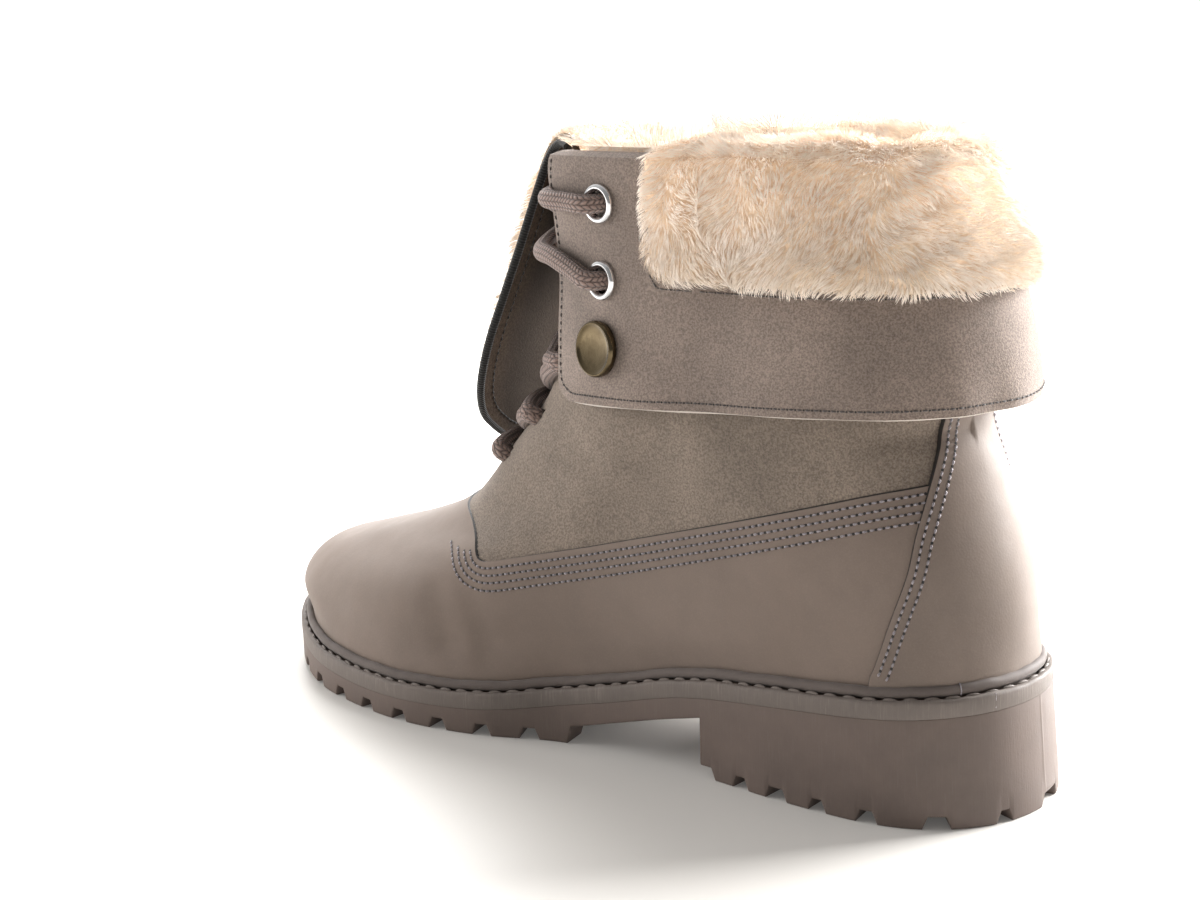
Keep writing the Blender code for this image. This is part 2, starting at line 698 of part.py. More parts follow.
# -------------------------------------------------------------- cuff and fur
def loop_at(front_z, back_z):
    """Outer and inner halves of the shaft's surface at a height that may slope."""
    halves = []
    for side in (0, 1):
        points = []
        for column in range(DENSE + 1):
            meridian = [row[side][column] for row in ROWS[THROAT_ROW:]]
            rim_back, rim_front = UPPER_LEVELS[-1][0], UPPER_LEVELS[-1][2]
            share = (meridian[-1].x - rim_back) / (rim_front - rim_back)
            height = back_z + (front_z - back_z) * share
            if height >= meridian[-1].z:
                top = meridian[-1]
                points.append(Vector((top.x, top.y, height)))
                continue
            for a, b in zip(meridian, meridian[1:]):
                if a.z <= height <= b.z:
                    points.append(a.lerp(b, (height - a.z) / max(b.z - a.z, 1e-9)))
                    break
            else:
                points.append(meridian[0].copy())
        halves.append(points)
    return halves


def backness(half):
    """Share from 0 at the side to 1 at the back for each point of a loop half."""
    total = length_of(half)
    run = 0.0
    out = []
    for i, p in enumerate(half):
        if i:
            run += (p - half[i - 1]).length
        back = min(max((run / total - 0.55) / 0.45, 0.0), 1.0)
        out.append(back * back * (3 - 2 * back))
    return out


def stood_off(half, side, at_front, at_side, at_back):
    """Loop half moved outward by its own distance at the front, the side and the back."""
    out = []
    for i, (p, share, ahead) in enumerate(zip(half, backness(half), backness(half[::-1])[::-1])):
        off = at_side + (at_back - at_side) * share + (at_front - at_side) * ahead
        out.append(p + outward(half, i, side) * off)
    return out


def cuff_halves(row):
    front_z, back_z, at_front, at_side, at_back, _ = row
    halves = loop_at(front_z, back_z)
    return [stood_off(half, side, at_front, at_side, at_back) for half, side in zip(halves, (1, -1))]


def open_row(halves, first, count):
    """Row of points from the outer front edge round the back to the inner front edge."""
    ends = []
    for half in halves:
        total = length_of(half)
        ends.append([at_length(half, first + (total - first) * k / count) for k in range(count + 1)])
    return ends[0][:-1] + ends[1][::-1]


CUFF_HALVES = [cuff_halves(row) for row in CUFF_ROWS]


def cuff_site(side, x, z):
    """Point and normal of the cuff's outer face at x and z."""
    half = 0 if side > 0 else 1

    def width(px, pz):
        track = []
        for halves in CUFF_HALVES:
            for a, b in zip(halves[half], halves[half][1:]):
                if b.x <= px <= a.x:
                    track.append(a.lerp(b, (a.x - px) / max(a.x - b.x, 1e-9)))
                    break
        for a, b in zip(track, track[1:]):
            if a.z <= pz <= b.z:
                return a.y + (b.y - a.y) * (pz - a.z) / (b.z - a.z)
        return track[-1].y

    here = width(x, z)
    along = (width(x + 3, z) - width(x - 3, z)) / 6
    upward = (width(x, z + 3) - width(x, z - 3)) / 6
    normal = Vector((-along, 1.0, -upward)).normalized() * side
    return Vector((x, here, z)) + normal * (0.5 * CUFF_SKIN), normal


def make_cuff(material):
    grid = [open_row(halves, row[5], CUFF_HALF_COLUMNS) for halves, row in zip(CUFF_HALVES, CUFF_ROWS)]
    rim = [row for row in ROWS[-1]]
    for z, off in CUFF_HOOK:
        halves = []
        for half, side in zip(rim, (1, -1)):
            moved = [p + outward(half, i, side) * off for i, p in enumerate(half)]
            halves.append([Vector((p.x, p.y, z)) for p in moved])
        grid.append(open_row(halves, CUFF_ROWS[-1][5] + 1.0, CUFF_HALF_COLUMNS))
    cuff = sheet_solid("cuff", grid, material, 0.5 * CUFF_SKIN, 0.5 * CUFF_SKIN)
    cutters = []
    for _, side, x, z in EYELET_SITES:
        place, normal = cuff_site(side, x, z)
        cutters.append(make_peg(place, normal, CUFF_HOLE, 9.0, 12))
    return combine(cuff, cutters, "DIFFERENCE")


def cuff_loop(z):
    """Halves of the cuff's middle surface at a height."""
    out = []
    for half in (0, 1):
        points = []
        for column in range(DENSE + 1):
            track = [halves[half][column] for halves in CUFF_HALVES]
            for a, b in zip(track, track[1:]):
                if a.z <= z <= b.z:
                    points.append(a.lerp(b, (z - a.z) / (b.z - a.z)))
                    break
            else:
                points.append(Vector((track[-1].x, track[-1].y, z)))
        out.append(points)
    return out


def fur_ring(halves, z_side, z_back, off_side, off_back):
    moved = []
    for half, side in zip(halves, (1, -1)):
        shifted = stood_off(half, side, off_side, off_side, off_back)
        track = []
        for p, share in zip(shifted, backness(half)):
            track.append(Vector((p.x, p.y, z_side + (z_back - z_side) * share)))
        moved.append(track)
    return open_row(moved, FUR_START, FUR_HALF_COLUMNS)


def make_fur(material):
    rings = []
    for row in FUR_OUTER:
        rings.append(fur_ring(cuff_loop(row[0]), *row))
    for row in FUR_OVER:
        rings.append(fur_ring(ROWS[-1], *row))
    for z in FUR_BACKING:
        rings.append(fur_ring(cuff_loop(z), z, z, FUR_OUTER[0][2] - 0.5, FUR_OUTER[0][3] - 0.5))
    bm = bmesh.new()
    verts = [[bm.verts.new(p) for p in ring] for ring in rings]
    count = len(verts[0])
    for a, b in zip(verts, verts[1:] + verts[:1]):
        for c in range(count - 1):
            bm.faces.new((a[c], a[c + 1], b[c + 1], b[c]))
    for end in (0, count - 1):
        bm.faces.new([ring[end] for ring in verts])
    return new_object("fur_collar", bm, material)


# ------------------------------------------------------------------- tongue
def flap_row(row, half, steps):
    """Points across the flap at a row that may lie between two rows of its table."""
    x, z, _, bow = row
    return [Vector((x - bow * (k / steps) ** 2, half * k / steps, z)) for k in range(-steps, steps + 1)]


def tongue_grid():
    grid = []
    steps = TONGUE_HALF_COLUMNS
    for row, extra in TONGUE_ROWS:
        half = value_at(THROAT_CURVE, row) + TONGUE_OVERLAP
        line = []
        for k in range(-steps, steps + 1):
            place, normal = surface(row, half * k / steps if k else 0.001)
            line.append(place - normal * (TONGUE_SINK + extra * (1 - (k / steps) ** 2)))
        grid.append(line)
    for row in FLAP:
        grid.append(flap_row(row, row[2], steps))
    return grid


def make_tongue(material):
    return sheet_solid("tongue", tongue_grid(), material, 0.5 * TONGUE_SKIN, 0.5 * TONGUE_SKIN)


def make_tongue_fur(material):
    """Pile on the leg side of the tongue, over its fold and down the front of the flap."""
    grid = [flap_row(FLAP[k], max(FLAP[k][2] - 1.5, 2.0), 2) for k, _ in FLAP_FUR_ROWS]
    flat = 0.5 * TONGUE_SKIN + SEAT
    normals = []
    for r, row in enumerate(grid):
        before = grid[max(r - 1, 0)]
        after = grid[min(r + 1, len(grid) - 1)]
        along = after[2] - before[2]
        normals.append(Vector((-along.z, 0.0, along.x)).normalized())
    bm = bmesh.new()
    rings = []
    for row, normal, (_, share) in zip(grid, normals, FLAP_FUR_ROWS):
        ring = [bm.verts.new(p + normal * flat) for p in row]
        ring += [bm.verts.new(p + normal * (flat + FLAP_FUR * share)) for p in reversed(row)]
        rings.append(ring)
    add_ring_faces(bm, rings)
    bm.faces.new(rings[0][::-1])
    bm.faces.new(rings[-1])
    return new_object("tongue_fur", bm, material)


# ----------------------------------------------------------------- hardware
def make_turned(name, material, profile, place, normal, sides, closed):
    """Turned piece from a radius and height profile, set on a face."""
    bm = bmesh.new()
    rings = []
    for radius, height in profile:
        rings.append([bm.verts.new((radius * math.cos(2 * math.pi * k / sides),
                                    radius * math.sin(2 * math.pi * k / sides), height))
                      for k in range(sides)])
    add_ring_faces(bm, rings, wrap_rings=closed)
    obj = new_object(name, bm, material, SOLE_PLACE + place * MM)
    obj.rotation_mode = "QUATERNION"
    obj.rotation_quaternion = normal.to_track_quat("Z", "Y")
    return obj


def tube(name, points, radius, sides, turn):
    """Closed round tube along points, its first corner turned by an angle."""
    bm = bmesh.new()
    rings = []
    across = None
    for i, p in enumerate(points):
        along = (points[min(i + 1, len(points) - 1)] - points[max(i - 1, 0)]).normalized()
        if across is None:
            across = along.orthogonal().normalized()
        across = (across - along * across.dot(along)).normalized()
        over = along.cross(across)
        ring = []
        for k in range(sides):
            angle = turn + 2 * math.pi * k / sides
            ring.append(bm.verts.new(p + (across * math.cos(angle) + over * math.sin(angle)) * radius))
        rings.append(ring)
    add_ring_faces(bm, rings)
    bm.faces.new(rings[0][::-1])
    bm.faces.new(rings[-1])
    return new_object(name, bm, None)


def over_front(row, along, lift=LACE_LIFT):
    """Lace point clear of the closed boot surface at a row and a signed length from the front."""
    place, normal = surface(row, along if abs(along) > 0.01 else 0.01)
    return place + normal * lift


def crossing(a, b, middle):
    """Lace path over the front from one hole, given as a row and a signed length, to another."""
    points = []
    for share, lift in LACE_SAG + ((0.5, middle),) + tuple((1.0 - s, high) for s, high in reversed(LACE_SAG)):
        points.append(over_front(a[0] + (b[0] - a[0]) * share, a[1] + (b[1] - a[1]) * share, lift))
    return points


def table_path(rows, side):
    """Path through rows of distance across, x and z, on one side of the boot."""
    return [Vector((x, y * side, z)) for y, x, z in rows]


def on_cuff(rows, side):
    """Lace points resting on the cuff's outer face."""
    points = []
    for x, z in rows:
        place, normal = cuff_site(side, x, z)
        points.append(place + normal * LACE_LIFT)
    return points


def make_lace(material):
    """Every crossing in front of the tongue, joined where the strands meet."""
    holes = [(row, value_at(THROAT_CURVE, row) + beside) for row, beside in LACE_HOLES]
    mirrored = [(row, -along) for row, along in holes]
    paths = []
    for n in range(len(holes) - 1):
        paths.append(crossing(holes[n], mirrored[n + 1], LACE_MIDDLES[0]))
        paths.append(crossing(mirrored[n], holes[n + 1], LACE_MIDDLES[1]))
    upper, lower = LACE_ON_CUFF
    paths.append(on_cuff(upper, 1) + table_path(LACE_TOP, 1) + table_path(LACE_TOP[-2::-1], -1)
                 + on_cuff(upper[::-1], -1))
    for side in (1, -1):
        paths.append(on_cuff(lower, side) + table_path(LACE_LOW, side))
        row, along = holes[-1]
        start = [over_front(row, along * side * share, lift) for share, lift in ((1.0, 3.4), (0.8, 3.2), (0.6, 1.2))]
        paths.append(start + [over_front(row + 0.9, 0.0, LACE_RISE)] + table_path(LACE_INNER, -side))
    tubes = [tube("lace", path, LACE_RADIUS, LACE_SIDES, 0.23 * i + 0.4) for i, path in enumerate(paths)]
    lace = tubes[0]
    lace.data.materials.append(material)
    return combine(lace, tubes[1:], "UNION")


def main():
    for obj in list(bpy.data.objects):
        bpy.data.objects.remove(obj, do_unlink=True)
    rubber = finish_material("sole_rubber", (0.125, 0.100, 0.088), 0.62)
    band = finish_material("welt_rubber", (0.180, 0.150, 0.132), 0.55)
    sock = finish_material("insole_pile", (0.62, 0.50, 0.38), 0.95)
    suede = finish_material("upper_suede", (0.190, 0.158, 0.136), 0.90)
    smooth = finish_material("counter_leather", (0.170, 0.138, 0.118), 0.62)
    cuff_suede = finish_material("cuff_suede", (0.230, 0.192, 0.168), 0.92)
    pile = finish_material("fur_pile", (0.72, 0.58, 0.44), 0.95)
    tongue_suede = finish_material("tongue_suede", (0.115, 0.098, 0.088), 0.92)
    silver = finish_material("eyelet_silver", (0.80, 0.80, 0.80), 0.20, 1.0)
    brass = finish_material("snap_brass", (0.23, 0.19, 0.12), 0.32, 1.0)
    cord = finish_material("lace_cord", (0.27, 0.20, 0.17), 0.85)
    make_outsole(rubber)
    make_welt(band)
    _, feather = make_upper(suede)
    make_insole(sock, feather)
    make_counter(smooth)
    make_cuff(cuff_suede)
    make_fur(pile)
    make_tongue(tongue_suede)
    make_tongue_fur(pile)
    for name, side, x, z in EYELET_SITES:
        place, normal = cuff_site(side, x, z)
        make_turned(name, silver, EYELET_PROFILE, place, normal, EYELET_SIDES, True)
    for name, side, x, z in SNAP_SITES:
        place, normal = cuff_site(side, x, z)
        make_turned(name, brass, SNAP_PROFILE, place, normal, SNAP_SIDES, False)
    make_lace(cord)


main()
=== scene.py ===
"""Looks of a fur-cuffed lace-up ankle boot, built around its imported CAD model.

Shapes are worked out in the boot's own millimetres: x forward from the back of the sole to
the toe, y to the boot's outer side, z up from the ground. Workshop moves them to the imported
model's metres.
"""
from __future__ import annotations

import logging
import math
from dataclasses import dataclass, field
from enum import Enum
from typing import Callable, Sequence

import bpy
import numpy as np
from mathutils import Matrix, Vector
from mathutils.bvhtree import BVHTree
from mathutils.kdtree import KDTree

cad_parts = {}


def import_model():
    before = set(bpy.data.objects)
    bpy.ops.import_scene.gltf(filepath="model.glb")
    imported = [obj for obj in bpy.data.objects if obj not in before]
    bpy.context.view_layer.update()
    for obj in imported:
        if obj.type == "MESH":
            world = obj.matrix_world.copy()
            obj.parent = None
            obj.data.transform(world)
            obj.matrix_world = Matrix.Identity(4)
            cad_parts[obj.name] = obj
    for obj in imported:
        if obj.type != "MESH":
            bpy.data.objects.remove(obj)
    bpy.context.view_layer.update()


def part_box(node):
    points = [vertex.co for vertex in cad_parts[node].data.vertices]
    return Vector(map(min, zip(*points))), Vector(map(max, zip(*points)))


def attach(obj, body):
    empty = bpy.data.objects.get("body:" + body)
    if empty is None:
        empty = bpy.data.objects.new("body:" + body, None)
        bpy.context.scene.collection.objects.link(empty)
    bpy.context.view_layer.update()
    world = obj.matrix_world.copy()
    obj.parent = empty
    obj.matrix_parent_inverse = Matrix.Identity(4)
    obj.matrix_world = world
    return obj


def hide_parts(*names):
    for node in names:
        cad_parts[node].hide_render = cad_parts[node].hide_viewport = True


Array = np.ndarray
Colour = tuple[float, float, float]
Curve = Callable[[Array], Array]
Rows = Sequence[Sequence[float]]
Socket = bpy.types.NodeSocket
Material = bpy.types.Material

LOG = logging.getLogger("ankle_boot")
MM = 0.001
BODY = "root"

# ---------- sole tables
HEEL_FLARE = 2.2
TOE_APEX = (276, -9)
HEEL_APEX = (0, -1)
# x, outer half width, inner half width
SOLE_PLAN = (
    (2.5, 12.5, -13.5), (9, 23, -23.5), (19, 31, -30), (32, 35.4, -33.4),
    (56, 36.8, -33.8), (82, 35.6, -31.6), (107, 35.2, -31), (133, 38.2, -33.8),
    (158, 48.2, -39.6), (183, 52.6, -46), (208, 50.2, -49.3), (232, 43.2, -46.6),
    (252, 30.6, -38.8), (266, 15.2, -27.5),
)
# x, top of the welt band
BAND_TOP = ((0, 35.6), (25, 33.7), (60, 30.9), (90, 26.9), (120, 19.2), (150, 13.7),
            (180, 12.2), (210, 12), (240, 13.8), (276, 18.6))
# x, lift of the tread off the ground
TOE_SPRING = ((0, 0), (150, 0), (210, 0), (227, 0.1), (245, 1.1), (262, 2.8), (276, 5))
# x, underside between the heel breast and the forefoot tread
ARCH = ((84, 17.2), (98, 13.6), (114, 9.2), (128, 5.6), (138, 3.4))
BAND_HEIGHT = 5.0
LUG_HEIGHT = 3.4
LUG_DEPTH = 10.0
BREAST_X = 84.0
# distance along the edge from the heel's middle notch, length of the heel lug there
HEEL_LUGS = ((10.8, 11.5), (27.9, 12.2), (47.2, 11.5), (63.2, 8.4), (76.2, 6.5), (89.2, 5.6), (100.5, 6))
# how far the middle notch lies from the back's apex, towards the inner side
HEEL_NOTCH = 3.5
HEEL_LUG_DRAFT = 3.6
FORE_LUG_START = 131.0
FORE_LUGS = 23
# share of the pitch that a forefoot lug fills at the ground and at its root
LUG_SHARES = (0.58, 0.82)
# heel centre bars and forefoot chevrons: x of the middle, half width
CENTRE_BARS = ((20, 12), (41, 15), (62, 15), (146, 17), (164, 22), (182, 26),
               (200, 28), (218, 26), (236, 20))

# ---------- upper tables
WALL = 2.4
FEATHER_INSET = 4.9
SEAT = 0.5
# inset from the sole's edge, height above the sole's top, of the two lowest levels
FOOT_LEVELS = ((FEATHER_INSET, SEAT), (4.7, 8.3))
# back x, back z, front x, front z, front y, follow of the sole's line, throat half width
UPPER_LEVELS = (
    (5, 48, 272, 27, -8.5, 0.75, 21),
    (6, 59, 266.5, 34.5, -7.5, 0.50, 20),
    (8, 69, 244, 42.4, -4.5, 0.22, 17),
    (11.5, 80, 214.5, 51.5, -1.5, 0.08, 14),
    (15, 90, 193, 61, 0, 0, 12.5),
    (18.5, 100, 174.4, 79, 0, 0, 15),
    (20.5, 116, 157.4, 100.5, 0, 0, 24),
    (21, 140, 148.4, 134, 0, 0, 38),
    (21, 169, 145.5, 169, 0, 0, 39),
)
# share of the way from back to front, for the two tables of half widths
SHARES = (0.05, 0.20, 0.45, 0.70, 0.90, 0.97)
OUTER_WIDTHS = (
    (25, 33, 33, 46.2, 31, 15), (25.2, 33.4, 34.4, 44.6, 28, 14),
    (24.4, 33, 34.6, 39.4, 23.4, 12), (22, 32, 34.2, 34.8, 22, 11.6),
    (19.8, 30.8, 33.6, 32.8, 23.6, 13.4), (18.6, 30.2, 33.8, 32.8, 24.4, 14.6),
    (18.2, 30.4, 34.6, 33.4, 23, 13.2), (18.2, 31.4, 36.2, 35.4, 26.2, 15.6),
    (18.4, 32.2, 37.4, 38.2, 32.4, 20.8),
)
INNER_WIDTHS = (
    (24.8, 30.6, 28.6, 43.2, 38, 27), (24.8, 31.4, 30.4, 42, 34, 24.5),
    (24, 31.4, 31.8, 38, 26.5, 16), (21.8, 30.8, 32.2, 34.2, 22.4, 12),
    (19.8, 30.2, 32.6, 32.4, 23.4, 13.2), (18.6, 29.8, 33, 32.4, 24.2, 14.4),
    (18.2, 30.2, 34, 33, 22.8, 13), (18.2, 31.2, 35.8, 35, 26, 15.4),
    (18.4, 32, 37, 37.8, 32.2, 20.6),
)
THROAT_LEVEL = 6.0
TOP_LEVEL = 10.0


# ---------- curves
def curve_through(points: Array, steps: int, closed: bool = False) -> Array:
    """Smooth curve through points, or through whole rows of points at once.

    Args:
        points: Points, the first axis running along the curve.
        steps: Spans' number of pieces.
        closed: Whether the curve comes back to its first point.

    Returns:
        The dense points, with the last one included on an open curve.
    """
    count = len(points)
    first = np.arange(count if closed else count - 1)
    p1 = points[first]
    p2 = points[(first + 1) % count]
    if closed:
        p0 = points[first - 1]
        p3 = points[(first + 2) % count]
    else:
        p0 = np.concatenate([2 * points[:1] - points[1:2], points[:-2]])
        p3 = np.concatenate([points[2:], 2 * points[-1:] - points[-2:-1]])

    def knot(a: Array, b: Array) -> Array:
        """Knot distance between neighbouring points."""
        return np.sqrt(np.maximum(np.linalg.norm(b - a, axis=-1, keepdims=True), 1e-6))

    d0, d1, d2 = knot(p0, p1), knot(p1, p2), knot(p2, p3)
    m1 = ((p1 - p0) / d0 - (p2 - p0) / (d0 + d1) + (p2 - p1) / d1) * d1
    m2 = ((p2 - p1) / d1 - (p3 - p1) / (d1 + d2) + (p3 - p2) / d2) * d1
    t = (np.arange(steps) / steps).reshape(1, steps, *([1] * (points.ndim - 1)))
    out = (p1[:, None] * (2 * t ** 3 - 3 * t ** 2 + 1) + m1[:, None] * (t ** 3 - 2 * t ** 2 + t)
           + p2[:, None] * (3 * t ** 2 - 2 * t ** 3) + m2[:, None] * (t ** 3 - t ** 2))
    out = out.reshape(-1, *points.shape[1:])
    return out if closed else np.concatenate([out, points[-1:]])


def runs_of(points: Array) -> Array:
    """Distance travelled at each point of a polyline."""
    return np.concatenate([[0.0], np.cumsum(np.linalg.norm(np.diff(points, axis=0), axis=1))])


def at_distances(points: Array, distances: Array) -> Array:
    """Points at distances along a polyline, held at its ends."""
    runs = runs_of(points)
    return np.stack([np.interp(distances, runs, points[:, k]) for k in range(points.shape[1])], axis=-1)


def softened(line: Array) -> Array:
    """Polyline with each point but its ends set to the mean of itself and its neighbours."""
    return np.concatenate([line[:1], (line[:-2] + line[1:-1] + line[2:]) / 3, line[-1:]])


def even(points: Array, spacing: float) -> Array:
    """Polyline resampled to a near even spacing."""
    total = runs_of(points)[-1]
    return at_distances(points, np.linspace(0.0, total, max(int(round(total / spacing)), 2) + 1))


def table_curve(rows: Rows) -> Curve:
    """Smooth function through a table of two columns."""
    dense = curve_through(np.array(rows, float), 8)
    return lambda x: np.interp(x, dense[:, 0], dense[:, 1])


def from_run(half: Array, first: float, count: int) -> Array:
    """Points of a polyline, evenly spaced from a distance along it to its end."""
    return at_distances(half, first + (runs_of(half)[-1] - first) * np.linspace(0.0, 1.0, count + 1))


def end_dense(count: int) -> Array:
    """Shares from 0 to 1, closer together at both ends."""
    share = np.arange(count + 1) / count
    return share - 0.42 * np.sin(2 * np.pi * share) / (2 * np.pi)


def smooth_step(x: Array) -> Array:
    """Soft ramp from 0 to 1."""
    x = np.clip(x, 0.0, 1.0)
    return x * x * (3 - 2 * x)


def unit(vectors: Array) -> Array:
    """Vectors of length one."""
    return vectors / np.maximum(np.linalg.norm(vectors, axis=-1, keepdims=True), 1e-12)


BAND_TOP_AT = table_curve(BAND_TOP)
SPRING_AT = table_curve(TOE_SPRING)
ARCH_AT = table_curve(ARCH)


def sole_top(x: Array) -> Array:
    """Height of the outsole's top at x."""
    return BAND_TOP_AT(x) - BAND_HEIGHT


def spring(x: Array) -> Array:
    """Lift of the tread at x."""
    return np.maximum(SPRING_AT(x), 0.0)


def underside(x: Array) -> Array:
    """Height of the sole's underside between the lugs, in front of the heel."""
    return np.where(x < ARCH[-1][0], ARCH_AT(x), LUG_HEIGHT + spring(x))


def joined_loop(outer: Array, inner: Array) -> Array:
    """Closed loop from two halves that share both their ends."""
    return np.concatenate([outer[:-1], inner[:0:-1]])


def split_loop(loop: Array, count: int) -> tuple[Array, Array]:
    """The two halves of a closed loop, the first with a number of points."""
    return loop[:count], np.concatenate([loop[:1], loop[:count - 2:-1]])


def both_sides(outer: Array, inner: Array) -> Array:
    """Row from the outer half's front round the back to the inner half's front."""
    return np.concatenate([outer, inner[-2::-1]])


def plan_halves(steps: int = 30) -> tuple[Array, Array]:
    """Outer and inner halves of the sole's edge, each from the toe to the heel.

    Args:
        steps: Pieces in each span of the table.

    Returns:
        The outer half and the inner half.
    """
    plan = np.array(SOLE_PLAN)
    controls = np.concatenate([[TOE_APEX], plan[::-1][:, :2], [HEEL_APEX], plan[:, [0, 2]]])
    loop = curve_through(controls, steps, closed=True)
    return split_loop(loop, steps * (len(plan) + 1) + 1)


def inward_of(loop: Array) -> Array:
    """Plan normals of a closed loop, towards its middle."""
    along = unit(np.roll(loop, -1, axis=0) - np.roll(loop, 1, axis=0))
    return np.stack([-along[:, 1], along[:, 0]], axis=-1)


# ---------- mesh making
def grid_faces(rows: int, columns: int, wrap: bool = False, keep: Array | None = None) -> Array:
    """Quads of a grid of points, facing the side of columns crossed with rows.

    Args:
        rows: Number of point rows.
        columns: Number of points in a row.
        wrap: Whether the last column joins the first.
        keep: Which quads stay, one truth value each.

    Returns:
        Corner numbers, four for each quad.
    """
    spans = columns if wrap else columns - 1
    row, column = np.meshgrid(np.arange(rows - 1), np.arange(spans), indexing="ij")
    here = row * columns
    after = (column + 1) % columns
    quads = np.stack([here + column, here + after, here + columns + after, here + columns + column], axis=-1)
    return quads[keep] if keep is not None else quads.reshape(-1, 4)


def fan_faces(sides: int) -> Array:
    """Triangles from a ring of points to the point that follows them."""
    number = np.arange(sides)
    return np.stack([number, (number + 1) % sides, np.full(sides, sides)], axis=-1)


def circle(across: Array, over: Array, sides: int) -> Array:
    """Points of a unit circle in the plane of two directions."""
    angle = 2 * np.pi * np.arange(sides) / sides
    return np.cos(angle)[:, None] * across + np.sin(angle)[:, None] * over


def trimmed(grid: Array, amount: float, last: bool = False, sides: bool = False) -> Array:
    """Grid whose chosen borders are drawn in along the surface, so that its cut edge slopes.

    Args:
        grid: Grid of points.
        amount: How far the borders move.
        last: Whether the last row moves.
        sides: Whether the first and last columns move.

    Returns:
        The new grid.
    """
    out = grid.copy()
    if last:
        out[-1] += amount * unit(grid[-2] - grid[-1])
    if sides:
        out[:, 0] += amount * unit(grid[:, 1] - grid[:, 0])
        out[:, -1] += amount * unit(grid[:, -2] - grid[:, -1])
    return out


def grid_normals(points: Array, wrap: bool = False) -> Array:
    """Unit normals of a grid of points.

    Args:
        points: The grid.
        wrap: Whether the last column joins the first.

    Returns:
        One normal for each point.
    """
    if wrap:
        across = np.roll(points, -1, axis=1) - np.roll(points, 1, axis=1)
    else:
        across = np.gradient(points, axis=1)
    return unit(np.cross(across, np.gradient(points, axis=0)))


@dataclass
class Patchwork:
    """Points and faces gathered for one object.

    Each point carries a shade, free for the finish to read, and a track: its distances along
    and across the piece in millimetres.
    """

    points: list[Array] = field(default_factory=list)
    shades: list[Array] = field(default_factory=list)
    tracks: list[Array] = field(default_factory=list)
    faces: list[tuple[Array, int]] = field(default_factory=list)
    count: int = 0

    def add(self, points: Array, faces: Array, shade: float | Array = 0.0, track: Array | None = None,
            finish: int = 0) -> None:
        """Add points and the faces between them.

        Args:
            points: Points in boot millimetres.
            faces: Corner numbers, counted from this call's first point.
            shade: One value, or one for each point.
            track: Two distances, or one direction, for each point.
            finish: Index of the object's material.
        """
        flat = points.reshape(-1, 3)
        self.points.append(flat)
        self.shades.append(np.broadcast_to(np.asarray(shade, float).reshape(-1), (len(flat),)))
        flow = np.zeros((len(flat), 3))
        if track is not None:
            flow[:, :track.shape[-1]] = track.reshape(-1, track.shape[-1])
        self.tracks.append(flow)
        self.faces.append((faces + self.count, finish))
        self.count += len(flat)

    def add_grid(self, grid: Array, shade: float | Array = 0.0, track: Array | None = None,
                 wrap: bool = False, turned: bool = False) -> None:
        """Add a grid of points with its quads, whose sides may be turned round."""
        self.add(grid, grid_faces(*grid.shape[:2], wrap)[:, ::-1 if turned else 1], shade, track)

    def add_sheet(self, outer: Array, inner: Array, keep: Array | None = None, wrap: bool = False,
                  shade: float | Array = 0.0, finishes: tuple[int, int, int] = (0, 0, 0)) -> None:
        """Add both faces of a sheet and the walls round its edges.

        Args:
            outer: Grid of the outer face.
            inner: Matching grid of the inner face.
            keep: Which quads stay.
            wrap: Whether the last column joins the first.
            shade: Shade of both faces; the walls have shade 1.
            finishes: Materials of the outer face, the inner face and the walls.
        """
        quads = grid_faces(*outer.shape[:2], wrap, keep)
        along = np.cumsum(np.linalg.norm(np.diff(outer, axis=1, prepend=outer[:, :1]), axis=2), axis=1)
        up = np.cumsum(np.linalg.norm(np.diff(outer, axis=0, prepend=outer[:1]), axis=2), axis=0)
        track = np.stack([along, up], axis=-1)
        self.add(outer, quads, shade, track, finishes[0])
        self.add(inner, quads[:, ::-1], shade, track, finishes[1])
        total = outer.shape[0] * outer.shape[1]
        starts = quads.ravel()
        ends = np.roll(quads, -1, axis=1).ravel()
        lone = ~np.isin(starts * total + ends, ends * total + starts)
        a, b = starts[lone], ends[lone]
        top, low = outer.reshape(-1, 3), inner.reshape(-1, 3)
        n = len(a)
        number = np.arange(n)
        walls = np.stack([number + n, number, number + 2 * n, number + 3 * n], axis=-1)
        self.add(np.concatenate([top[a], top[b], low[a], low[b]]), walls, 1.0,
                 np.tile(track.reshape(-1, 2)[a], (4, 1)), finishes[2])

    def add_tube(self, path: Array, radius: float | Array, sides: int, shade: float | Array = 0.0,
                 finish: int = 0, cap: bool = True, across: Array | None = None) -> None:
        """Add a round tube along a path.

        Args:
            path: Points of the tube's middle.
            radius: One radius, or one for each point.
            sides: Corners of a section.
            shade: One value, or one for each point of the path.
            finish: Index of the object's material.
            cap: Whether the ends are closed.
            across: Direction in which each section's first corner lies.
        """
        along = unit(np.gradient(path, axis=0))
        if across is None:
            across = carried_across(along)
        around = circle(across[:, None], np.cross(along, across)[:, None], sides)
        reach = np.broadcast_to(np.asarray(radius, float), (len(path),))
        rings = path[:, None] + around * reach[:, None, None]
        run = np.broadcast_to(runs_of(path)[:, None], rings.shape[:2])
        turn = np.broadcast_to(np.arange(sides) / sides, rings.shape[:2])
        tone = np.repeat(np.broadcast_to(shade, (len(path),)), sides)
        self.add(rings, grid_faces(len(path), sides, wrap=True), tone, np.stack([run, turn], axis=-1), finish)
        if cap:
            for ring, order in ((rings[0], -1), (rings[-1], 1)):
                tip = np.concatenate([ring, ring.mean(axis=0, keepdims=True)])
                self.add(tip, fan_faces(sides)[:, ::order], tone[0] if order < 0 else tone[-1], None, finish)


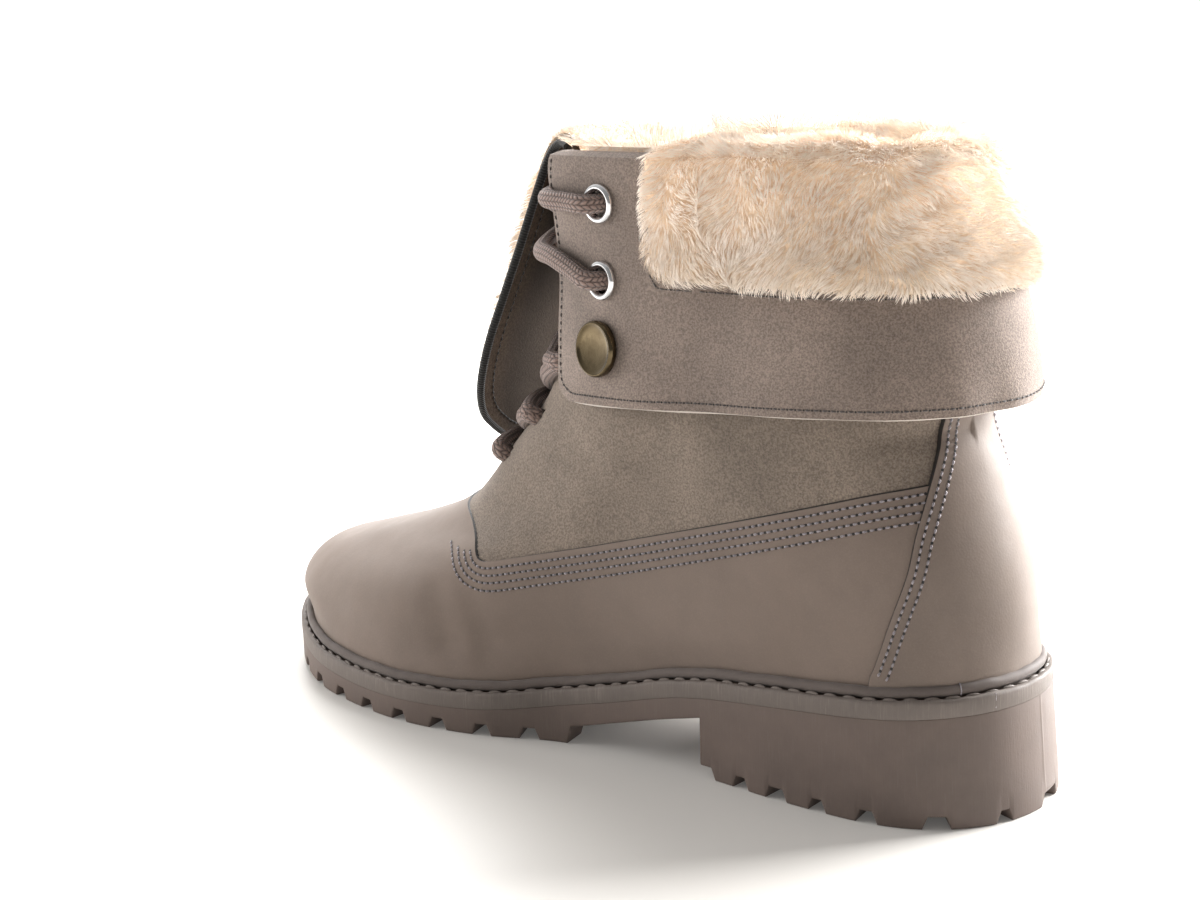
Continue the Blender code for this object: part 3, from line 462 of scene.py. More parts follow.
def carried_across(along: Array) -> Array:
    """Directions across a path that don't twist, from its unit tangents.

    Args:
        along: Unit tangents.

    Returns:
        One direction for each tangent.
    """
    start = np.array([0.0, 0.0, 1.0]) if abs(along[0, 2]) < 0.9 else np.array([1.0, 0.0, 0.0])
    out = []
    for step in along:
        start = start - step * np.dot(start, step)
        start = start / np.linalg.norm(start)
        out.append(start)
    return np.array(out)


def shown(name: str, data: bpy.types.ID) -> bpy.types.Object:
    """New object of some data, put in the scene.

    Args:
        name: Name of the object.
        data: Mesh, light or camera.

    Returns:
        The object.
    """
    thing = bpy.data.objects.new(name, data)
    bpy.context.scene.collection.objects.link(thing)
    return thing


@dataclass
class Workshop:
    """Turns gathered patches into objects that ride on the boot."""

    origin: Array

    @classmethod
    def from_frame(cls) -> "Workshop":
        """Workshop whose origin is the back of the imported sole, on the ground and on the heel's middle.

        Returns:
            The workshop.
        """
        low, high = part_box("outsole")
        outer, inner = plan_halves()
        middle = 0.5 * (outer[:, 1].max() + inner[:, 1].min())
        return cls(np.array([low[0] / MM + HEEL_FLARE, 0.5 * (low[1] + high[1]) / MM - middle, low[2] / MM]))

    def place(self, points: Array) -> Array:
        """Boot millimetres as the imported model's metres."""
        return (points + self.origin) * MM

    def make(self, name: str, patch: Patchwork, finishes: Sequence[Finish], slot: str,
             replaced: Sequence[str] = (), sharp: float = 40.0) -> bpy.types.Object:
        """Make one object from a patchwork.

        Args:
            name: Name of the piece.
            patch: Its points and faces.
            finishes: Its finishes, in the order of the faces' indices.
            slot: Not used.
            replaced: The CAD nodes that it stands for.
            sharp: Angle in degrees past which an edge isn't shaded smooth.

        Returns:
            The piece, riding on the boot.
        """
        mesh = bpy.data.meshes.new(name)
        points = self.place(np.concatenate(patch.points))
        mesh.vertices.add(len(points))
        mesh.vertices.foreach_set("co", points.astype(np.float32).ravel())
        corners = np.concatenate([faces.ravel() for faces, _ in patch.faces])
        sizes = np.concatenate([np.full(len(faces), faces.shape[1]) for faces, _ in patch.faces])
        marks = np.concatenate([np.full(len(faces), finish) for faces, finish in patch.faces])
        mesh.loops.add(len(corners))
        mesh.loops.foreach_set("vertex_index", corners.astype(np.int32))
        mesh.polygons.add(len(sizes))
        starts = np.concatenate([[0], np.cumsum(sizes)[:-1]])
        mesh.polygons.foreach_set("loop_start", starts.astype(np.int32))
        mesh.polygons.foreach_set("material_index", marks.astype(np.int32))
        shade = mesh.attributes.new("shade", "FLOAT", "POINT")
        shade.data.foreach_set("value", np.concatenate(patch.shades).astype(np.float32))
        track = mesh.attributes.new("track", "FLOAT_VECTOR", "POINT")
        track.data.foreach_set("vector", np.concatenate(patch.tracks).astype(np.float32).ravel())
        mesh.update(calc_edges=True)
        mesh.shade_smooth()
        if sharp < 180.0:
            mesh.set_sharp_from_angle(angle=math.radians(sharp))
        for finish in finishes:
            mesh.materials.append(finish.made())
        piece = shown(name, mesh)
        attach(piece, BODY)
        if replaced:
            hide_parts(*replaced)
        LOG.info("%s: %d points, %d faces", name, len(points), len(sizes))
        return piece


@dataclass
class Assembly:
    """Part of the boot that is made in the workshop."""

    shop: Workshop

    def stitched(self, name: str, stitches: Patchwork, thread: Finish, slot: str) -> None:
        """Make a piece of stitches, with their needle holes as lids of painted shade."""
        self.shop.make(name, stitches, [thread, Finish.HOLE_SHADE_AND_BLACK_THREAD], slot, [], 180.0)


# ---------- the last
@dataclass
class Last:
    """Smooth closed form of the boot's upper, between a few levels from the sole to the rim.

    A place on it is a level, 0 at the sole and 10 at the rim, and a distance along that level
    from the middle of the front, positive on the outer side.
    """

    columns: int = 160
    rows_a_level: int = 12
    halves: list[Array] = field(init=False)

    def __post_init__(self) -> None:
        """Work out both halves' grids of points."""
        levels = [self._foot_level(*row) for row in FOOT_LEVELS]
        levels += [self._level(*rows) for rows in zip(UPPER_LEVELS, OUTER_WIDTHS, INNER_WIDTHS)]
        self.halves = [curve_through(np.stack([level[side] for level in levels]), self.rows_a_level)
                       for side in (0, 1)]

    def _foot_level(self, inset: float, height: float) -> tuple[Array, Array]:
        """Halves of a level that follows the sole's edge.

        Args:
            inset: Distance inside the edge.
            height: Height over the sole's top.

        Returns:
            Outer and inner halves.
        """
        shares = end_dense(self.columns)
        loop = joined_loop(*(at_distances(half, shares * runs_of(half)[-1]) for half in plan_halves()))
        moved = loop + inward_of(loop) * inset
        full = np.column_stack([moved, sole_top(loop[:, 0]) + height])
        return split_loop(full, self.columns + 1)

    def _level(self, level: Sequence[float], outer: Sequence[float], inner: Sequence[float]) -> list[Array]:
        """Halves of a level given by its ends and its half widths.

        Args:
            level: Row of the table of levels.
            outer: Outer half widths.
            inner: Inner half widths.

        Returns:
            Outer and inner halves.
        """
        back_x, back_z, front_x, front_z, front_y, follow, _ = level
        xs = back_x + np.array(SHARES) * (front_x - back_x)
        controls = np.concatenate([
            [[front_x, front_y]], np.column_stack([xs, outer])[::-1],
            [[back_x, HEEL_APEX[1] * follow]], np.column_stack([xs, -np.array(inner)])])
        steps = 40
        loop = curve_through(controls, steps, closed=True)
        out = []
        for half in split_loop(loop, steps * (len(SHARES) + 1) + 1):
            flat = at_distances(half, end_dense(self.columns) * runs_of(half)[-1])
            t = (flat[:, 0] - back_x) / (front_x - back_x)
            line = back_z + (front_z - back_z) * t
            base = sole_top(back_x) + (sole_top(front_x) - sole_top(back_x)) * t
            out.append(np.column_stack([flat, line + follow * (sole_top(flat[:, 0]) - base)]))
        return out

    def row(self, side: int, level: float) -> Array:
        """Points of a level's half from the front to the back.

        Args:
            side: 0 for the outer half, 1 for the inner.
            level: Level, 0 to 10.

        Returns:
            The points.
        """
        place = np.clip(level, 0.0, TOP_LEVEL) * self.rows_a_level
        low = min(int(place), len(self.halves[side]) - 2)
        return self.halves[side][low] * (1 - place + low) + self.halves[side][low + 1] * (place - low)

    def spot(self, level: float, along: float) -> tuple[Array, Array]:
        """Point and outward normal at a level and a signed distance from the front.

        Args:
            level: Level, 0 to 10.
            along: Distance, positive on the outer side.

        Returns:
            The point and the normal.
        """
        side = 0 if along >= 0 else 1
        run = abs(along)

        def point(at: float, distance: float) -> Array:
            """Point of the half at a level and a distance."""
            return at_distances(self.row(side, at), np.array([distance]))[0]

        across = point(level, run + 0.5) - point(level, max(run - 0.5, 0.0))
        up = point(min(level + 0.12, TOP_LEVEL), run) - point(max(level - 0.12, 0.0), run)
        normal = unit(np.cross(across, up)) * (-1 if side else 1)
        return point(level, run), normal


THROAT_AT = table_curve([(2 + i, level[6]) for i, level in enumerate(UPPER_LEVELS)])


# ---------- the finishes
class Sum(Enum):
    """Arithmetic that a finish uses."""

    ADD = "ADD"
    TAKE = "SUBTRACT"
    TIMES = "MULTIPLY"
    POWER = "POWER"
    SINE = "SINE"
    FLOOR = "FLOOR"
    REST = "FRACT"
    MOD = "MODULO"


class Mixer(Enum):
    """Ways in which two colours are laid over each other."""

    MIX = "MIX"
    MULTIPLY = "MULTIPLY"


@dataclass
class Tree:
    """Node tree of one material, with short calls for the nodes that the finishes share."""

    name: str
    roughness: float = 0.8
    metallic: float = 0.0
    sheen: float = 0.0
    sheen_roughness: float = 0.5
    specular: float = 0.5

    def __post_init__(self) -> None:
        """Make the material and set what is the same all over it."""
        self.material = bpy.data.materials.new(self.name)
        self.material.use_nodes = True
        self.tree = self.material.node_tree
        self.shader = self.tree.nodes["Principled BSDF"]
        for name, value in (("Roughness", self.roughness), ("Metallic", self.metallic),
                            ("Sheen Weight", self.sheen), ("Sheen Roughness", self.sheen_roughness),
                            ("Specular IOR Level", self.specular)):
            self.shader.inputs[name].default_value = value

    def put(self, socket: Socket, value: object) -> None:
        """Link a socket to another, or set it.

        Args:
            socket: Input to fill.
            value: Output to link, or plain value.
        """
        if isinstance(value, Socket):
            self.tree.links.new(value, socket)
        elif isinstance(value, tuple) and len(value) == 3 and socket.type == "RGBA":
            socket.default_value = (*value, 1.0)
        else:
            socket.default_value = value

    def node(self, kind: str, inputs: dict[str | int, object], **settings: str) -> bpy.types.Node:
        """New node with its inputs and settings.

        Args:
            kind: End of the node's type name.
            inputs: Values by the socket's number or name.
            settings: Values of the node's own settings.

        Returns:
            The node.
        """
        node = self.tree.nodes.new("ShaderNode" + kind)
        for name, value in settings.items():
            setattr(node, name, value)
        for key, value in inputs.items():
            self.put(node.inputs[key], value)
        return node

    def place(self) -> Socket:
        """Object coordinates, in metres."""
        return self.node("TexCoord", {}).outputs["Object"]

    def carried(self, name: str) -> Socket:
        """A value carried by the mesh: shade as a number, track as a vector."""
        return self.node("Attribute", {}, attribute_name=name).outputs["Fac" if name == "shade" else "Vector"]

    def split(self, vector: Socket) -> list[Socket]:
        """The three parts of a vector."""
        return list(self.node("SeparateXYZ", {0: vector}).outputs)

    def joined(self, x: object, y: object, z: object = 0.0) -> Socket:
        """A vector from three parts."""
        return self.node("CombineXYZ", {0: x, 1: y, 2: z}).outputs[0]

    def stretched(self, vector: Socket, scale: tuple[float, float, float]) -> Socket:
        """A vector with its parts scaled."""
        return self.node("VectorMath", {0: vector, 1: scale}, operation="MULTIPLY").outputs[0]

    def maths(self, kind: Sum, a: object, b: object = 0.0) -> Socket:
        """One sum."""
        return self.node("Math", {0: a, 1: b}, operation=kind.value).outputs[0]

    def times(self, a: object, b: object) -> Socket:
        """Product of two numbers."""
        return self.maths(Sum.TIMES, a, b)

    def noise(self, scale: float, detail: float = 2.0, vector: Socket | None = None,
              harsh: float = 0.5) -> Socket:
        """Soft noise, with its cells to the metre."""
        return self.node("TexNoise", {"Vector": vector or self.place(), "Scale": scale, "Detail": detail,
                                      "Roughness": harsh}).outputs["Fac"]

    def cells(self, scale: float) -> Socket:
        """Distance to the nearest of scattered points, with cells to the metre."""
        return self.node("TexVoronoi", {"Vector": self.place(), "Scale": scale}).outputs["Distance"]

    def levels(self, factor: Socket, low: float, high: float, bottom: float = 0.0,
               top: float = 1.0) -> Socket:
        """A factor stretched from one range to another."""
        return self.node("MapRange", dict(enumerate((factor, low, high, bottom, top)))).outputs[0]

    def blend(self, factor: object, a: object, b: object, kind: Mixer = Mixer.MIX) -> Socket:
        """Two colours laid over each other."""
        return self.node("Mix", {0: factor, 6: a, 7: b}, data_type="RGBA", blend_type=kind.value).outputs[2]

    def shaken(self, colour: Socket, tone: Socket) -> Socket:
        """A colour multiplied by a number."""
        return self.blend(1.0, colour, self.joined(tone, tone, tone), Mixer.MULTIPLY)

    def bump(self, height: Socket, depth: float, strength: float = 1.0,
             under: Socket | None = None) -> Socket:
        """Bumps of a depth in millimetres, over other bumps."""
        inputs = {"Strength": strength, "Distance": depth * MM, "Height": height}
        return self.node("Bump", inputs if under is None else {**inputs, "Normal": under}).outputs[0]

    def finish(self, colour: Socket, normal: Socket | None = None,
               roughness: Socket | None = None) -> Material:
        """Link the shader's sockets and give back the material.

        Args:
            colour: Base colour.
            normal: Bumped normal.
            roughness: Roughness, if it varies.

        Returns:
            The material.
        """
        for name, value in (("Base Color", colour), ("Normal", normal), ("Roughness", roughness)):
            if value is not None:
                self.put(self.shader.inputs[name], value)
        return self.material


def toned(colour: Colour, factor: float) -> Colour:
    """Colour made darker or lighter."""
    return tuple(min(part * factor, 1.0) for part in colour)


@dataclass(frozen=True)
class Suede:
    """Napped suede with a speckled grain, soft mottling and a raw cut edge, whose colour also paints shade
    where the shade value asks.
    """

    name: str
    colour: Colour
    edge: Colour
    grain: float = 1500.0
    contrast: float = 0.30
    sheen: float = 0.22

    def material(self) -> Material:
        """Make the finish.

        Returns:
            The material.
        """
        tree = Tree(self.name, roughness=0.95, sheen=self.sheen, sheen_roughness=0.6, specular=0.12)
        speck = tree.noise(self.grain, 3.0, harsh=0.62)
        fine = tree.noise(self.grain * 2.6, 2.0, harsh=0.6)
        patch = tree.noise(46.0, 4.0, harsh=0.6)
        dark = toned(self.colour, 1 - self.contrast)
        light = toned(self.colour, 1 + self.contrast)
        base = tree.blend(tree.levels(speck, 0.40, 0.60), dark, light)
        base = tree.blend(tree.levels(fine, 0.38, 0.62, 0.0, 0.45), base, light)
        base = tree.shaken(base, tree.levels(patch, 0.3, 0.7, 0.80, 1.14))
        # Blend towards the edge colour: the raw cut edge on the walls, and painted shade over the tongue
        # flap's middle.
        base = tree.blend(tree.carried("shade"), base, self.edge)
        normal = tree.bump(speck, 0.22, 0.8)
        normal = tree.bump(fine, 0.09, 0.7, normal)
        return tree.finish(base, normal)


@dataclass(frozen=True)
class Nubuck:
    """Smooth matte coated leather with faint mottling, fine grain and a dark cut edge that is partly edge
    paint and partly painted shade of the gap along it.
    """

    name: str
    colour: Colour
    edge: Colour

    def material(self) -> Material:
        """Make the finish.

        Returns:
            The material.
        """
        tree = Tree(self.name, roughness=0.66, sheen=0.12, sheen_roughness=0.5, specular=0.32)
        mottle_and_floor_shade = tree.noise(30.0, 5.0, harsh=0.62)
        haze = tree.noise(140.0, 4.0, harsh=0.6)
        grain = tree.cells(1500.0)
        dust = tree.noise(2200.0, 3.0)
        low = toned(self.colour, 0.88)
        high = toned(self.colour, 1.12)
        base = tree.blend(tree.levels(mottle_and_floor_shade, 0.3, 0.7), low, high)
        base = tree.blend(tree.levels(haze, 0.4, 0.75, 0.0, 0.25), base, high)
        base = tree.blend(tree.levels(dust, 0.45, 0.75, 0.0, 0.18), base, toned(self.colour, 1.5))
        # The walls' dark edge colour is partly edge paint and partly painted shade for the shadow gap along
        # the panels' cut edges.
        base = tree.blend(tree.carried("shade"), base, self.edge)
        normal = tree.bump(grain, 0.035, 0.5)
        normal = tree.bump(haze, 0.16, 0.35, normal)
        rough = tree.levels(haze, 0.3, 0.7, 0.58, 0.74)
        return tree.finish(base, normal, rough)


@dataclass(frozen=True)
class SoleRubber:
    """Moulded rubber with fine upright flow lines and dusty scuffs."""

    name: str
    colour: Colour
    scuff: Colour
    lines: float = 0.5
    wear: float = 0.4

    def material(self) -> Material:
        """Make the finish.

        Returns:
            The material.
        """
        tree = Tree(self.name, roughness=0.56, specular=0.4)
        run, up, _ = tree.split(tree.carried("track"))
        streak = tree.noise(1.0, 3.0, tree.joined(tree.times(run, 2.6), tree.times(up, 0.10)), 0.7)
        broad = tree.noise(1.0, 4.0, tree.joined(tree.times(run, 0.33), tree.times(up, 0.12)))
        mottle_and_floor_shade = tree.noise(60.0, 5.0, harsh=0.65)
        grit = tree.noise(1300.0, 3.0, harsh=0.6)
        low = toned(self.colour, 0.86)
        base = tree.blend(tree.levels(mottle_and_floor_shade, 0.3, 0.7), low, toned(self.colour, 1.10))
        worn = tree.times(tree.levels(streak, 0.5, 0.78), tree.levels(broad, 0.38, 0.66, 0.15, 1.0))
        base = tree.blend(tree.times(worn, self.wear), base, self.scuff)
        base = tree.blend(tree.times(tree.carried("shade"), 0.6), base, self.scuff)
        normal = tree.bump(streak, 0.12 * self.lines, 0.9)
        normal = tree.bump(grit, 0.05, 0.6, normal)
        rough = tree.levels(mottle_and_floor_shade, 0.3, 0.7, 0.48, 0.68)
        return tree.finish(base, normal, rough)


@dataclass(frozen=True)
class Pile:
    """Soft sheepskin-like pile with warm and pale tufts, darker towards its roots and lower down as painted
    shade, and with a painted glow.
    """

    name: str
    root: Colour
    tip: Colour
    warm: Colour
    painted_glow: float = 0.08

    def material(self) -> Material:
        """Make the finish.

        Returns:
            The material.
        """
        tree = Tree(self.name, roughness=0.9, sheen=0.3, sheen_roughness=0.5, specular=0.1)
        tuft = tree.noise(95.0, 3.0, harsh=0.6)
        hair = tree.noise(700.0, 3.0, harsh=0.7)
        # Painted shade: low shade values at the strands' roots give the root colour, so the pile is darker
        # deep down where shade falls.
        base = tree.blend(tree.levels(tree.carried("shade"), 0.0, 0.8), self.root, self.tip)
        base = tree.blend(tree.levels(tuft, 0.42, 0.72, 0.0, 0.55), base, self.warm)
        # Painted shade: the pile's colour is made darker below a height of about 0.14 to 0.16 m, towards the
        # bottom of the collar.
        _, _, up = tree.split(tree.place())
        flicker = tree.levels(hair, 0.25, 0.75, 0.95, 1.05)
        base = tree.shaken(base, tree.times(flicker, tree.levels(up, 0.140, 0.162, 0.84, 1.0)))
        # Painted glow: the pile emits its own colour at a low strength, though it is no lamp.
        tree.put(tree.shader.inputs["Emission Color"], base)
        tree.put(tree.shader.inputs["Emission Strength"], self.painted_glow)
        return tree.finish(base, tree.bump(hair, 0.5, 0.5))


@dataclass(frozen=True)
class Braid:
    """Round braided cord: columns of slanting stitches that lean in turn left and right, painted darker as
    shade in the grooves between them.
    """

    name: str
    colour: Colour
    dark: Colour
    columns: float = 12.0
    pitch: float = 1.25

    def material(self) -> Material:
        """Make the finish.

        Returns:
            The material.
        """
        tree = Tree(self.name, roughness=0.8, sheen=0.3, sheen_roughness=0.5, specular=0.25)
        run, turn, _ = tree.split(tree.carried("track"))
        place = tree.times(turn, self.columns)
        part = tree.maths(Sum.REST, place)
        odd = tree.maths(Sum.MOD, tree.maths(Sum.FLOOR, place), 2.0)
        lean = tree.maths(Sum.TAKE, tree.times(odd, 2.0), 1.0)
        slant = tree.times(tree.times(part, lean), 0.62)
        wave = tree.maths(Sum.REST, tree.maths(Sum.ADD, tree.times(run, 1.0 / self.pitch), slant))
        ridge = tree.maths(Sum.SINE, tree.times(wave, math.pi))
        rib = tree.maths(Sum.SINE, tree.times(part, math.pi))
        height = tree.times(tree.maths(Sum.POWER, ridge, 0.55), tree.maths(Sum.POWER, rib, 0.45))
        fuzz = tree.noise(2600.0, 2.0)
        # Painted shade: the colour goes to the dark one where the braid's height is low, in its grooves.
        base = tree.blend(tree.levels(height, 0.30, 0.85), self.dark, self.colour)
        base = tree.blend(tree.levels(fuzz, 0.4, 0.7, 0.0, 0.4), base, toned(self.colour, 1.35))
        normal = tree.bump(height, 0.42, 1.0)
        return tree.finish(base, tree.bump(fuzz, 0.05, 0.5, normal))


@dataclass(frozen=True)
class Thread:
    """Sewing thread with its ply twisted along it, painted darker as shade in the twist's grooves."""

    name: str
    colour: Colour

    def material(self) -> Material:
        """Make the finish.

        Returns:
            The material.
        """
        tree = Tree(self.name, roughness=0.5, sheen=0.2, specular=0.5)
        run, turn, _ = tree.split(tree.carried("track"))
        twist = tree.maths(Sum.ADD, tree.times(run, 2.4), tree.times(turn, 2.0))
        ply = tree.maths(Sum.SINE, tree.times(twist, 2 * math.pi))
        # Painted shade: the thread is darker where the ply's bump is low.
        base = tree.blend(tree.levels(ply, -1.0, 1.0), toned(self.colour, 0.7), self.colour)
        return tree.finish(base, tree.bump(ply, 0.06, 0.8))


@dataclass(frozen=True)
class Metal:
    """Plated metal with fine wear and faint tarnish."""

    name: str
    colour: Colour
    tarnish: Colour
    roughness: float

    def material(self) -> Material:
        """Make the finish.

        Returns:
            The material.
        """
        tree = Tree(self.name, metallic=1.0, roughness=self.roughness)
        patch = tree.noise(260.0, 5.0, harsh=0.65)
        rub = tree.noise(1400.0, 3.0, tree.stretched(tree.place(), (1.0, 1.0, 0.25)))
        base = tree.blend(tree.levels(patch, 0.42, 0.70), self.colour, self.tarnish)
        rough = tree.levels(rub, 0.3, 0.7, self.roughness * 0.7, self.roughness * 1.4)
        return tree.finish(base, tree.bump(rub, 0.01, 0.4), rough)


@dataclass(frozen=True)
class Ribbon:
    """Ribbed binding tape, painted darker as shade between its ribs."""

    name: str
    colour: Colour

    def material(self) -> Material:
        """Make the finish.

        Returns:
            The material.
        """
        tree = Tree(self.name, roughness=0.7, sheen=0.2, specular=0.3)
        run, _, _ = tree.split(tree.carried("track"))
        rib = tree.maths(Sum.SINE, tree.times(run, 2 * math.pi / 0.8))
        lint = tree.noise(1800.0, 2.0)
        # Painted shade: the tape is darker where the ribs' bump is low.
        base = tree.blend(tree.levels(rib, -1.0, 1.0), toned(self.colour, 0.5), self.colour)
        base = tree.blend(tree.levels(lint, 0.5, 0.8, 0.0, 0.3), base, toned(self.colour, 3.0))
        return tree.finish(base, tree.bump(rib, 0.12, 0.8))


class Finish(Enum):
    """Every finish of the boot."""

    RUBBER = SoleRubber("sole_rubber_finish", (0.150, 0.114, 0.098), (0.27, 0.225, 0.20), 0.4, 0.22)
    BAND = SoleRubber("welt_band_finish", (0.165, 0.138, 0.122), (0.36, 0.31, 0.275), 0.9, 0.55)
    BEAD = Nubuck("welt_bead_finish", (0.120, 0.098, 0.088), (0.08, 0.07, 0.06))
    SUEDE = Suede("shaft_suede_finish", (0.190, 0.152, 0.122), (0.11, 0.095, 0.085), 1700.0, 0.34, 0.15)
    NUBUCK = Nubuck("vamp_nubuck_finish", (0.190, 0.146, 0.120), (0.020, 0.017, 0.015))
    COUNTER = Nubuck("counter_nubuck_finish", (0.180, 0.140, 0.116), (0.020, 0.017, 0.015))
    CUFF = Suede("cuff_suede_finish", (0.205, 0.160, 0.134), (0.62, 0.55, 0.49), 1900.0, 0.36)
    # Tongue: dark suede made darker still as painted shade for the flap's underside; its edge colour also
    # paints the shade of the flap's middle.
    TONGUE = Suede("tongue_suede_finish", (0.082, 0.058, 0.042), (0.024, 0.018, 0.014), 1500.0, 0.35, 0.01)
    PILE = Pile("fur_finish", (0.86, 0.69, 0.52), (0.99, 0.89, 0.79), (0.92, 0.78, 0.62))
    FLEECE = Pile("fur_backing_finish", (0.78, 0.58, 0.41), (0.89, 0.73, 0.56), (0.84, 0.66, 0.48))
    LINING = Pile("lining_finish", (0.50, 0.36, 0.24), (0.74, 0.60, 0.46), (0.60, 0.44, 0.30))
    BRAID = Braid("lace_finish", (0.30, 0.215, 0.185), (0.075, 0.052, 0.045))
    THREAD = Thread("thread_finish", (0.40, 0.36, 0.39))
    # Near black: painted shade inside the needle holes, and the thread of the tongue's stitches.
    HOLE_SHADE_AND_BLACK_THREAD = Thread("needle_hole_shade_and_black_thread_finish", (0.012, 0.010, 0.010))
    DARK = Thread("dark_thread_finish", (0.085, 0.070, 0.066))
    SILVER = Metal("silver_finish", (0.74, 0.74, 0.75), (0.60, 0.60, 0.61), 0.12)
    BRASS = Metal("brass_finish", (0.128, 0.099, 0.058), (0.092, 0.068, 0.038), 0.16)
    RIBBON = Ribbon("binding_finish", (0.020, 0.019, 0.018))

    def made(self) -> Material:
        """The finish's material, made once."""
        return bpy.data.materials.get(self.value.name) or self.value.material()


# ---------- stitching
# height over the skin, and share of the full radius, at five places of a stitch
STITCH_LIFT = (-0.12, 0.14, 0.20, 0.14, -0.12)
STITCH_GIRTH = (0.55, 1.0, 1.08, 1.0, 0.55)


@dataclass
class Seam:
    """Rows of lockstitches on a surface, each stitch a small twist of thread between two needle holes."""

    skin: BVHTree
    pitch: float = 2.05
    share: float = 0.62
    radius: float = 0.34
    hole: float = 0.42
    step: float = 0.7
    stride: float = 0.8

    def onto(self, points: Array) -> tuple[Array, Array]:
        """Nearest points of the skin, and its normals there.

        Args:
            points: Points to treat.

        Returns:
            The places and the normals.
        """
        places, normals = [], []
        for point in points:
            place, normal, _, _ = self.skin.find_nearest(Vector(point))
            places.append(place)
            normals.append(normal)
        return np.array(places, float), np.array(normals, float)

    def moved(self, line: Array, distance: float, turn: float = 1.0) -> Array:
        """A line moved sideways over the skin.

        Args:
            line: Points on the skin.
            distance: How far the line moves.
            turn: 1 to move to the left of the line's run seen from outside, -1 to the right.

        Returns:
            The new line, on the skin.
        """
        steps = max(int(math.ceil(distance / self.stride)), 1)
        line = even(line, self.step)
        for _ in range(steps):
            _, normals = self.onto(line)
            along = unit(np.gradient(line, axis=0))
            line = line + np.cross(normals, along) * (turn * distance / steps)
            line[1:-1] = 0.25 * line[:-2] + 0.5 * line[1:-1] + 0.25 * line[2:]
            line, _ = self.onto(even(line, self.step))
        return line

    def sew(self, patch: Patchwork, line: Array) -> None:
        """Add one row of stitches along a line.

        Args:
            patch: Patchwork that takes the stitches.
            line: Points on the skin.
        """
        total = runs_of(line)[-1]
        count = int(total / self.pitch)
        middles = (np.arange(count) + 0.5) * self.pitch
        half = 0.5 * self.pitch * self.share
        for start in middles:
            run = np.linspace(start - half, start + half, 5)
            path, normals = self.onto(at_distances(line, run))
            path = path + normals * np.array(STITCH_LIFT)[:, None]
            patch.add_tube(path, self.radius * np.array(STITCH_GIRTH), 6, cap=False, across=normals)
            centre, normal = self.onto(at_distances(line, np.array([start + 0.5 * self.pitch])))
            self._hole(patch, centre[0], normal[0])

    def _hole(self, patch: Patchwork, centre: Array, normal: Array) -> None:
        """Add one needle hole as a small lid whose near-black colour is painted shade inside the hole.

        Args:
            patch: Patchwork that takes the faces.
            centre: Its middle on the skin.
            normal: The skin's normal there.
        """
        across = unit(np.cross(normal, np.array([0.3, 0.2, 0.93])))
        ring = centre + normal * 0.05 + self.hole * circle(across, np.cross(normal, across), 7)
        patch.add(np.concatenate([ring, (centre + normal * 0.09)[None]]), fan_faces(7), finish=1)


def skin_of(grid: Array) -> BVHTree:
    """Search tree of a grid of points."""
    return BVHTree.FromPolygons(grid.reshape(-1, 3).tolist(), grid_faces(*grid.shape[:2]).tolist())


